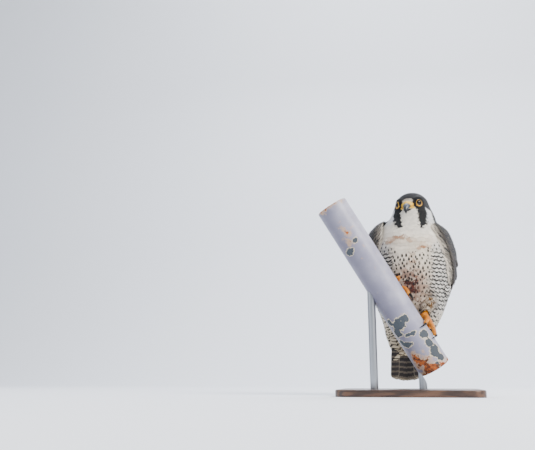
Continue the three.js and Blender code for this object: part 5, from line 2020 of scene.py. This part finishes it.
    def flesh(self) -> MeshParts:
        """The wing under its feathers: a closed plate from just inside the wing's surface down.

        Returns:
            The mesh.
        """
        height, share = pairs(np.linspace(321, 122, 40), np.linspace(0.015, 0.985, 30))
        around = self.form.across(height, share)
        edge = np.minimum(share, 1 - share) * 8
        thick = 15 * np.sqrt(np.clip(edge, 0, 1)) * mix(0.25, 1, smooth(height, 122, 190))
        deep = 2.0 + 8.5 * (1 - smooth(height, 186, 206))
        deep = deep + smooth(height, 296, 312) * mix(3, 11, smooth(share, 0.45, 0.75))
        inner = self.form.point(height, around, -deep - 0.6 - thick)
        return closed_grid(np.concatenate([self.form.point(height, around, -deep), inner[:, ::-1]], 1))

    def build(self, covert: bpy.types.Material, flight: bpy.types.Material) -> None:
        """Adds the wing's pieces."""
        *flights, greater, median = (self.tier(number) for number in range(len(WING_TIERS)))
        flights = joined(flights)
        flights.enter(f"flight_feathers_{self.name}", "flight_feathers", flight, f"wing_{self.name}", crease=55)
        coverts = joined([greater, median, self.small_coverts(), self.edge_coverts()])
        coverts.enter(f"wing_coverts_{self.name}", "wing_plumage", covert, crease=55)


@dataclass(frozen=True)
class Back:
    """The mantle and scapulars, which lie over the inner edges of both wings and close the back between them."""

    form: BackForm
    # How far apart the rows are on the back and on the rump, and the feathers in a row.
    row_gap: float = 6.6
    rump_row_gap: float = 8.0
    column_gap: float = 8.6
    rump_column_gap: float = 9.0

    def mantle(self) -> MeshParts:
        """The mantle and scapulars: broad blades in level rows, narrower towards the rump.

        Returns:
            The mesh.
        """
        rng, found = np.random.default_rng(91), []
        heights = np.arange(332, 176, -self.row_gap)
        reach = np.interp(heights, [176, 200, 232, 262, 296, 310, 322, 332], [5, 9, 20, 34, 58, 92, 108, 76])
        for index, (height, half) in enumerate(zip(heights, reach)):
            radius = 50 if height < 300 else 40
            count = int(half * 2 * math.pi / 180 * radius / self.column_gap) + 1 + index % 2
            found.append(table(height, 90 + np.linspace(-half, half, count) + rng.normal(0, 0.7, count)))
        height, angle = np.concatenate(found).T
        roots = self.form.body.point(height, np.radians(angle))
        length = np.interp(height, [176, 250, 300, 332], [30, 25, 17, 11]) * rng.uniform(0.92, 1.08, len(roots))
        width = np.interp(height, [176, 250, 300, 332], [18, 17, 14.5, 11])
        wish = self.form.settle(roots - [0, 0, 5.0]) - self.form.settle(roots)
        ground, along, sideways = lay_out(self.form, roots, wish)
        tint = blend(Ground.BACK.rgb, Ground.CROWN.rgb, smooth(height, 298, 325))
        tint = tint * rng.uniform(0.86, 1.14, (len(roots), 1))
        bar, edge = 0.55 * (1 - smooth(height, 300, 316)), 0.5 * (1 - smooth(height, 300, 318))
        marks = table(0, bar, edge, rng.uniform(0, 1, len(roots)))
        patch = np.clip(table((ground[:, 0] + 90) / 180, (height - 150) / 200), 0.01, 0.99)
        lay = Lay(length, width, tint, marks, patch, ground, along, sideways)
        vane = Vane(rows=9, columns=7, roundness=0.55, thick=0.3, camber=0.4, ragged=0.03)
        return vane.build(on_form(self.form, lay), -1.4, 2.4 - 1.7 * smooth(ground[:, 2], 300, 326), lay, 92)

    def rump(self) -> MeshParts:
        """The rump and upper tail coverts: narrow blades in rows between the wing tips.

        Returns:
            The mesh.
        """
        rng, body, found = np.random.default_rng(95), self.form.body, []
        for index, height in enumerate(np.arange(204, 84, -self.rump_row_gap)):
            half = np.interp(height, [84, 120, 204], [44, 44, 32])
            count = max(int(2 * half * math.pi / 180 * 42 / self.rump_column_gap), 3) + index % 2
            found.append(table(height, np.radians(90 + np.linspace(-half, half, count))))
        roots = body.point(*np.concatenate(found).T)
        height = roots[:, 2]
        length = np.interp(height, [84, 200], [33, 22]) * rng.uniform(0.93, 1.08, len(roots))
        ground, along, sideways = lay_out(body, roots, body.settle(roots - [0, 0, 5.0]) - roots)
        tint = Ground.RUMP.rgb * rng.uniform(0.85, 1.12, (len(roots), 1))
        marks = table(0, 0.85, 0.35, rng.uniform(0, 1, len(roots)))
        patch = np.clip(table((ground[:, 0] + 90) / 180, (height - 80) / 130), 0.01, 0.99)
        lay = Lay(length, np.full(len(roots), 14.5), tint, marks, patch, ground, along, sideways)
        vane = Vane(rows=9, columns=7, roundness=0.6, thick=0.28, camber=0.4, ragged=0.04)
        return vane.build(on_form(body, lay), -1.3, 1.3, lay, 96)

    def flesh(self) -> MeshParts:
        """The body under the mantle: a closed plate that fills the hollow between the wings."""
        height, turn = pairs(np.linspace(334, 172, 60), np.radians(np.linspace(22, 158, 60)))
        outer = self.form.settle(self.form.body.point(height, turn), -2.2 - 9 * (1 - smooth(height, 188, 208)))
        inner = self.form.body.point(height, turn, -14.0)
        return closed_grid(np.concatenate([outer, inner[:, ::-1]], 1))

    def build(self, covert: bpy.types.Material) -> None:
        """Adds the back's feathers."""
        self.mantle().enter("mantle_and_scapulars", "wing_plumage", covert, crease=55)
        self.rump().enter("rump_and_tail_coverts", "barred_plumage", covert, crease=55)


@dataclass(frozen=True)
class Tail:
    """Twelve tail feathers, the middle pair on top and each outer one lower and a little shorter."""

    root: tuple[float, float, float] = (-18, 41, 96)
    tip: tuple[float, float, float] = (-20.5, 66, 26)
    half_width: float = 30
    feather_width: float = 16
    top: float = 2.2
    step: float = 0.75

    def place(self, down: Array, across: Array, out: Array) -> Array:
        """Points by share of the way down, distance across and distance out behind the middle, bowed across."""
        out = out - 2.4 * across ** 2 / self.half_width ** 2
        lean = math.atan2(self.tip[1] - self.root[1], self.root[2] - self.tip[2])
        x, y, z = (mix(start, end, down) for start, end in zip(self.root, self.tip))
        return table(x + across, y + out * math.cos(lean), z + out * math.sin(lean))

    def feathers(self) -> MeshParts:
        """The feathers, spread from a narrow root, with pale bars and tips.

        Returns:
            The mesh.
        """
        rng = np.random.default_rng(55)
        pair, side = np.repeat(np.arange(6), 2), np.tile([1, -1], 6)
        where = np.array([0.06, 0.26, 0.45, 0.64, 0.82, 1.0])[pair] * side
        end = 1 - 0.085 * where ** 2 + 0.006 * rng.normal(size=12)
        level = self.top - self.step * pair + np.where((pair == 0) & (side < 0), self.step * 0.6, 0)

        def surface(t: Array, distance: Array, out: Array) -> Array:
            """Points by share along, distance across and distance out."""
            spread = mix(self.half_width - 11, self.half_width - self.feather_width / 2, t) * where[:, None, None]
            return self.place(mix(-0.28, end[:, None, None], t), spread + distance, out)

        # The roots lie above the tail's own root, under the coverts, and the spread adds a little length.
        length = (self.root[2] - self.tip[2]) * 1.28 * 1.04
        tint = Ground.TAIL.rgb * rng.uniform(0.88, 1.12, (12, 1))
        marks = table(0, 1, 0.6 * (pair == 5), rng.uniform(0, 1, 12))
        patch = table(0.04 + 0.075 * np.arange(12), 0.1)
        lay = Lay(np.full(12, length), np.full(12, self.feather_width), tint, marks, patch)
        vane = Vane(rows=28, columns=9, roundness=0.9, thick=0.35, camber=0.35, root_width=0.5, full_from=0.5)
        return vane.build(surface, level * 0.6, level, lay, 56)

    def build(self, barred: bpy.types.Material) -> None:
        """Adds the tail."""
        self.feathers().enter("tail_feathers", "flight_feathers", barred, "tail", crease=55)


# ---- Skin


@dataclass(frozen=True)
class Skin:
    """One closed skin under the whole coat, from body, head, wings, back and thighs melted into one surface."""

    form: PlumageForm
    markings: Markings
    body_depth: float = 1.5
    head_depth: float = 0.75
    grain: float = 2.1
    # Marks on the skin stand in rows and columns, as those of the breast's feathers do: the first row's height, the
    # rows' height and the columns' width, on a body of this radius, and how far from an edge every point counts as.
    top: float = 296
    row_height: float = 7.0
    column_width: float = 7.5
    radius: float = 62
    edge: float = 3

    def body(self) -> MeshParts:
        """The body as rings, a coat's depth inside the plumage's outline."""
        return closed_grid(self.form.body.point(*pairs(np.linspace(80, 330, 150), turns(96)), -self.body_depth))

    def head(self) -> MeshParts:
        """The head as rings of directions from its middle."""
        rise, azimuth = pairs(np.radians(np.linspace(-68, 89.6, 80)), turns(120))
        far = self.form.head.placed(HeadForm.way(azimuth, rise) * 30)
        return closed_grid(self.form.head.settle(far, -self.head_depth))

    def melted(self, parts: list[MeshParts]) -> MeshParts:
        """Parts that cross one another as one smooth surface of even squares.

        Args:
            parts: closed meshes.

        Returns:
            The surface.
        """
        rough = joined(parts).put("skin_parts")
        melt = rough.modifiers.new("melt", "REMESH")
        melt.mode, melt.voxel_size = "VOXEL", self.grain / 1000
        rough.modifiers.new("even", "SMOOTH").iterations = 4
        shape = bpy.data.meshes.new_from_object(rough.evaluated_get(bpy.context.evaluated_depsgraph_get()))
        points, corners = np.empty(len(shape.vertices) * 3, np.float32), np.empty(len(shape.loops), np.int32)
        shape.vertices.foreach_get("co", points)
        shape.loops.foreach_get("vertex_index", corners)
        for used in (shape, rough.data):
            bpy.data.meshes.remove(used)
        return MeshParts(points.reshape(-1, 3).astype(float) * 1000 - BIRD_AT, [corners.reshape(-1, 4)])

    def build(self, parts: list[MeshParts], material: bpy.types.Material) -> None:
        """Melts the parts into one surface, then marks it as the feathers over it are marked.

        Args:
            parts: the flesh of wings, back and thighs.
            material: the breast feathers' finish.
        """
        skin = self.melted([self.body(), self.head(), *parts])
        tint, marks = self.markings.at(skin.points)
        height, turn, _ = self.form.body.polar(skin.points)
        row = (self.top - height) / self.row_height
        column = np.abs(turn + np.pi / 2) * self.radius / self.column_width + 0.5 * (np.floor(row) % 2)
        across, down = (column % 1 - 0.5) * self.column_width, (row % 1) * self.row_height
        tint = np.column_stack([tint, np.ones(len(tint))])
        skin.values = {"tint": tint, "lay": table(across, down, self.edge), "marks": marks}
        skin.enter("skin", "breast_plumage", material, "torso")


# ---- Perch and stand


@dataclass(frozen=True)
class Spar:
    """The cut length of painted spar, with flaked and rusty places on it."""

    chamfer: float = 2.0
    rings: int = 150
    sides: int = 144
    # Flaked places and rusty ones: distance up the spar, angle round it, half length, half width and strength.
    flakes: tuple[tuple[float, float, float, float, float], ...] = (
        (98, -118, 9, 9, 1.0), (103, -96, 7, 4.5, 0.85), (101, -83, 7, 4.5, 0.85), (87, -142, 7, 7, 1.0),
        (106, -146, 6, 6, 0.75), (74, -98, 4, 9, 0.8), (60, -131, 5, 9, 0.95), (68, -150, 5, 5, 0.8),
        (62, -55, 6.5, 8, 0.95), (45, -59, 9, 6.5, 0.95), (29, -55, 9, 9, 1.0), (14, -50, 7, 8, 0.85),
        (9, -77, 4.5, 5, 0.75), (249, -123, 5.5, 9, 0.95), (262, -84, 4.5, 5, 0.85),
        (150, 120, 11, 9, 0.95), (215, 60, 8, 9, 0.9), (60, 95, 11, 10, 0.95), (300, 20, 7, 9, 0.85),
        (190, 170, 6, 9, 0.85), (110, 30, 4, 5, 0.7), (320, 150, 9, 8, 0.9),
    )
    rusts: tuple[tuple[float, float, float, float, float], ...] = (
        (28, -130, 16, 8, 0.9), (12, -112, 17, 12, 0.85), (0, -93, 13, 14, 0.9), (-3, -60, 9, 15, 0.8),
        (0, 0, 6, 40, 0.85), (0, 100, 7, 40, 0.85), (0, 180, 7, 40, 0.9), (280, -98, 13, 5, 0.5),
        (266, -108, 11, 5, 0.5), (338, 60, 4, 40, 0.6), (338, -90, 4, 45, 0.6),
    )
    # Painted shade darkens the side that faces down and forward, away from the key light: strength, angle and half
    # width.
    soot: tuple[float, float, float] = (0.75, -138, 38)

    @staticmethod
    def away(around: Array, angle: float) -> Array:
        """Degrees round the spar from an angle, from -180 to 180."""
        return (around - angle + 180) % 360 - 180

    def hills(self, places: tuple, station: Array, around: Array) -> Array:
        """A smooth field on the spar: at each place a hill that falls off as a bell along and round it.

        Args:
            places: distance, angle, half length, half width and strength of each place.
            station: distances up the spar.
            around: angles round it.

        Returns:
            The highest hill's height at each point.
        """
        total = np.zeros(station.shape)
        for where, angle, long, wide, strength in places:
            gap = ((station - where) / long) ** 2 + (np.radians(self.away(around, angle)) * SPAR_RADIUS / wide) ** 2
            total = np.maximum(total, strength * np.exp(-0.55 * gap))
        return total

    def build(self) -> None:
        """Adds the spar: rings along its axis with a chamfer at both ends, closed by flat ends."""
        inner = np.linspace(self.chamfer, SPAR_LENGTH - self.chamfer, self.rings)
        station = np.concatenate([[0, 0, 0, 0.6], inner, SPAR_LENGTH - np.array([0.6, 0, 0, 0])])
        inset = [SPAR_RADIUS - 6, SPAR_RADIUS - 16, self.chamfer, self.chamfer - 1.4]
        out = -np.concatenate([inset, np.zeros(self.rings), inset[::-1]])
        where, angle = pairs(station, np.arange(self.sides) * 360 / self.sides)
        # Painted shade along the side away from the key light, as a bell round the spar.
        strength, facing, wide = self.soot
        soot = strength * np.exp(-0.5 * (self.away(angle, facing) / wide) ** 2)
        flake, rust = self.hills(self.flakes, where, angle), self.hills(self.rusts, where, angle)
        mesh = closed_grid(on_spar(where, angle, out[:, None]), flake=flake, rust=rust, soot=soot)
        # The angle runs the other way round from a tube's, so the faces are turned to look out.
        mesh.faces = [faces[:, ::-1] for faces in mesh.faces]
        finish = SparPaintFinish("weathered_enamel_paint").build()
        mesh.enter("painted_spar", "spar_paint", finish, "perch_spar", crease=40)


@dataclass(frozen=True)
class Stand:
    """A plain board with two steel rods that hold the spar."""

    length: float = 250
    depth: float = 190
    thickness: float = 12
    bevel: float = 2.5
    corner: float = 22
    middle: tuple[float, float] = (-15, -10)
    rod_radius: float = 7
    # Each rod's name and its distance up the spar.
    stations: tuple[tuple[str, float], ...] = (("front", 42), ("back", 208))
    # Rings of a rod: their share of its length and of its radius, with a small bevel at the foot.
    rings: tuple[tuple[float, float], ...] = (
        (0, 0.85), (0, 0.93), (0.012, 1), (0.2, 1), (0.4, 1), (0.6, 1), (0.8, 1), (1, 1),
    )
    gap: float = 0.35

    def board(self) -> MeshParts:
        """The board: a rounded rectangle whose outline steps in round the bevel, closed above and below.

        Returns:
            The mesh.
        """
        turn, ease = turns(160) + np.pi / 160, np.linspace(0, np.pi / 2, 8)
        ray = table(np.cos(turn), np.sin(turn))
        centre = np.sign(ray) * (np.array([self.length, self.depth]) / 2 - self.corner)
        edge = self.thickness - self.bevel * (1 - np.sin(ease))
        # The rings' insets from the outline and their levels, from the middle of the underside to that of the top.
        inset = np.concatenate([[self.corner - 1, self.corner / 2, 0.6, 0], self.bevel * (1 - np.cos(ease)),
                                [self.corner / 2, self.corner - 1]])
        level = np.concatenate([[0, 0, 0, 0.6], edge, [self.thickness, self.thickness]])
        x, y = np.moveaxis(centre + (self.corner - inset)[:, None, None] * ray + self.middle, -1, 0)
        return closed_grid(table(x, y, level[:, None]))

    def rod(self, station: float) -> MeshParts:
        """A rod from the board to the spar: its top follows the spar's underside.

        Args:
            station: its distance up the spar.

        Returns:
            The mesh.
        """
        turn = turns(64)
        middle = (SPAR_END + station * SPAR_UP) * [1, 1, 0]
        ring = self.rod_radius * table(np.cos(turn), np.sin(turn), 0)
        share, size = np.array(self.rings).T[..., None]
        grid = middle + size[..., None] * ring
        grid[..., 2] = mix(self.thickness + self.gap, self.under_spar(middle + ring) - self.gap, share)
        return closed_grid(grid)

    @staticmethod
    def under_spar(places: Array) -> Array:
        """The height of the spar's underside over places on the floor: where an upright line meets its cylinder.

        Args:
            places: the places, at height 0.

        Returns:
            The first height at which each line meets it, from the quadratic equation for its distance to the axis.
        """
        start, upright = places - SPAR_END, np.array([0, 0, 1.0])
        flat, rise = start - (start @ SPAR_UP)[:, None] * SPAR_UP, upright - SPAR_UP[2] * SPAR_UP
        a, b, c = rise @ rise, flat @ rise, np.sum(flat * flat, -1) - SPAR_RADIUS ** 2
        return (-b - np.sqrt(np.maximum(b * b - a * c, 0))) / a

    def build(self) -> None:
        """Adds the board and both rods."""
        walnut = WalnutFinish("oiled_walnut").build()
        self.board().enter("stand_board", "stand_wood", walnut, "stand_base", crease=30)
        steel = SatinSteelFinish("satin_stainless_steel").build()
        for name, station in self.stations:
            rod = self.rod(station)
            rod.enter(f"stand_rod_{name}_steel", "stand_steel", steel, f"stand_rod_{name}", crease=40)


# ---- Studio


@dataclass(frozen=True)
class Studio:
    """A pale floor that curves up into a backdrop, soft lights and the camera, in metres."""

    camera_at: tuple[float, float, float] = (0.015, -1.260, 0.030)
    camera_turn: tuple[float, float, float] = (1.79690, 0.0, 0.21538)
    lens: float = 45.0
    # Soft square lights: name, place, what they face, size, power in watts and colour.
    lights: tuple[tuple[str, tuple, tuple, float, float, str], ...] = (
        ("key_soft", (1.7, -1.3, 1.7), (0, 0, 0.2), 1.1, 120, "#fffaf2"),
        ("fill_soft", (-1.9, -1.4, 0.9), (0, 0, 0.2), 1.6, 14, "#f2f6ff"),
        ("top_soft", (0.1, 0.8, 2.2), (0, 0, 0.2), 1.8, 50, "#f6f9ff"),
        ("backdrop_soft", (0, 0.7, 3.1), (0, 2.2, 0.9), 1.6, 60, "#f4f8ff"),
    )

    def backdrop(self) -> None:
        """A sheet that runs along the floor and bends up through a quarter circle."""
        bend = np.linspace(0, np.pi / 2, 24)
        y = np.concatenate([[-4.0, -1.0, 0.5], 1.4 + 0.8 * np.sin(bend), [2.2]])
        z = np.concatenate([[0, 0, 0], 0.8 - 0.8 * np.cos(bend), [4.5]]) - 0.0002
        grid = table(np.linspace(-5, 5, 9), y[:, None], z[:, None]) * 1000 - BIRD_AT
        floor = MeshParts(grid.reshape(-1, 3), [quads(len(y), 9)[:, ::-1]]).put("studio_floor")
        floor.data.materials.append(Finish("pale_paper").build())

    @staticmethod
    def stand_up(data: bpy.types.ID, place: tuple, turn: tuple) -> bpy.types.Object:
        """Puts a light or the camera at its place, turned as given."""
        made = bpy.data.objects.new(data.name, data)
        made.location, made.rotation_euler = place, turn
        bpy.context.scene.collection.objects.link(made)
        return made

    def build(self) -> None:
        """Adds backdrop, lights, sky light and camera. A light is turned from straight down to face its aim."""
        self.backdrop()
        for name, place, aim, size, power, colour in self.lights:
            lamp = bpy.data.lights.new(name, "AREA")
            lamp.size, lamp.energy, lamp.color = size, power, linear(colour)
            x, y, z = np.array(aim) - np.array(place)
            self.stand_up(lamp, place, (math.atan2(math.hypot(x, y), -z), 0, math.atan2(-x, y)))
        world = bpy.data.worlds.new("soft_sky")
        world.use_nodes = True
        world.node_tree.nodes.clear()
        sky = node(world.node_tree, Step.BACKGROUND, "#e6ecf5", 0.85)
        world.node_tree.links.new(sky, world.node_tree.nodes.new("ShaderNodeOutputWorld").inputs[0])
        bpy.context.scene.world = world
        camera = bpy.data.cameras.new("camera")
        camera.lens, camera.clip_start = self.lens, 0.05
        bpy.context.scene.camera = self.stand_up(camera, self.camera_at, self.camera_turn)


# ---- Assembly


LEFT_TOES = (
    Toe("hind", 7, 52, 4.4, 3.5, 1.5, (17, 1, 34)),
    Toe("inner", -9, -48, 4.4, 3.4, 2.5, (14, 0, -26)),
    Toe("middle", -37, -26, 4.6, 3.3, 3.5, (15, 1, -30)),
    Toe("outer", -25, 10, 4.2, 3.2, 2.5, (13, -12, -8)),
)
RIGHT_TOES = (
    Toe("hind", 9, 42, 4.4, 3.5, 1.5, (17, 3, 32)),
    Toe("inner", -33, -8, 4.4, 3.4, 2.5, (14, -13, -6)),
    Toe("middle", -26, -34, 4.6, 3.3, 3.0, (16, -13, -17)),
    Toe("outer", 14, -34, 4.2, 3.2, 2.0, (13, 4, -22)),
)


def main() -> None:
    """Builds the falcon, its perch and its stand, then the studio."""
    logging.basicConfig(level=logging.INFO, format="%(name)s %(message)s")
    form = PlumageForm()
    markings = Markings(form)
    soft = PlumageFinish("thigh_feathers").build()
    covert = PlumageFinish("covert_feathers", mark="#1b1c21", edge="#a09788", rim=0.8, period=6.5, first=4.5, share=0.3,
                           shaft=0.35, barb_depth=0.5, sheen=0.08).build()
    flight = PlumageFinish("flight_feather_vanes", mark="#18171a", edge="#a0957f", rim=0.7, period=9, first=6,
                           share=0.42, chevron=0.12, shaft=0.4, barb_depth=0.5, roughness=0.6, sheen=0.05).build()
    barred = PlumageFinish("tail_feather_vanes", mark="#232125", edge="#b3a996", rim=1.1, tip_band=3.6, period=10,
                           first=9.5, share=0.62, chevron=0.1, shaft=0.4, barb_depth=0.5, roughness=0.6).build()
    legs = [Leg("left", 1, 84, 13, LEFT_TOES), Leg("right", -1, 156, 44, RIGHT_TOES)]
    wings = [Wing("left", WingForm(1), 200), Wing("right", WingForm(-1), 300)]
    back = Back(BackForm(form.body))
    flesh = [back.flesh(), *(wing.flesh() for wing in wings), *(leg.thigh_skin() for leg in legs)]
    Skin(form, markings).build(flesh, soft)
    wet = EyeFinish("wet_dark_eye").build()
    ring = ScaledSkinFinish("orbital_ring_skin", "#d9a400", "#c48a00", "#a87405", 0.5, 0.15, 0.45).build()
    Eye("left", 1, form.head).build(wet, ring)
    Eye("right", -1, form.head).build(wet, ring)
    Bill(form.head).build()
    Coat(form, markings).build()
    scaled = ScaledSkinFinish("toe_skin").build()
    talon = HornFinish("black_talon", "#141416", "#070708", 0.36, 0.25).build()
    for leg in legs:
        leg.build(scaled, talon, soft, markings)
    for wing in wings:
        wing.build(covert, flight)
    back.build(covert)
    Tail().build(barred)
    Spar().build()
    Stand().build()
    Studio().build()


if __name__ == "__main__":
    main()
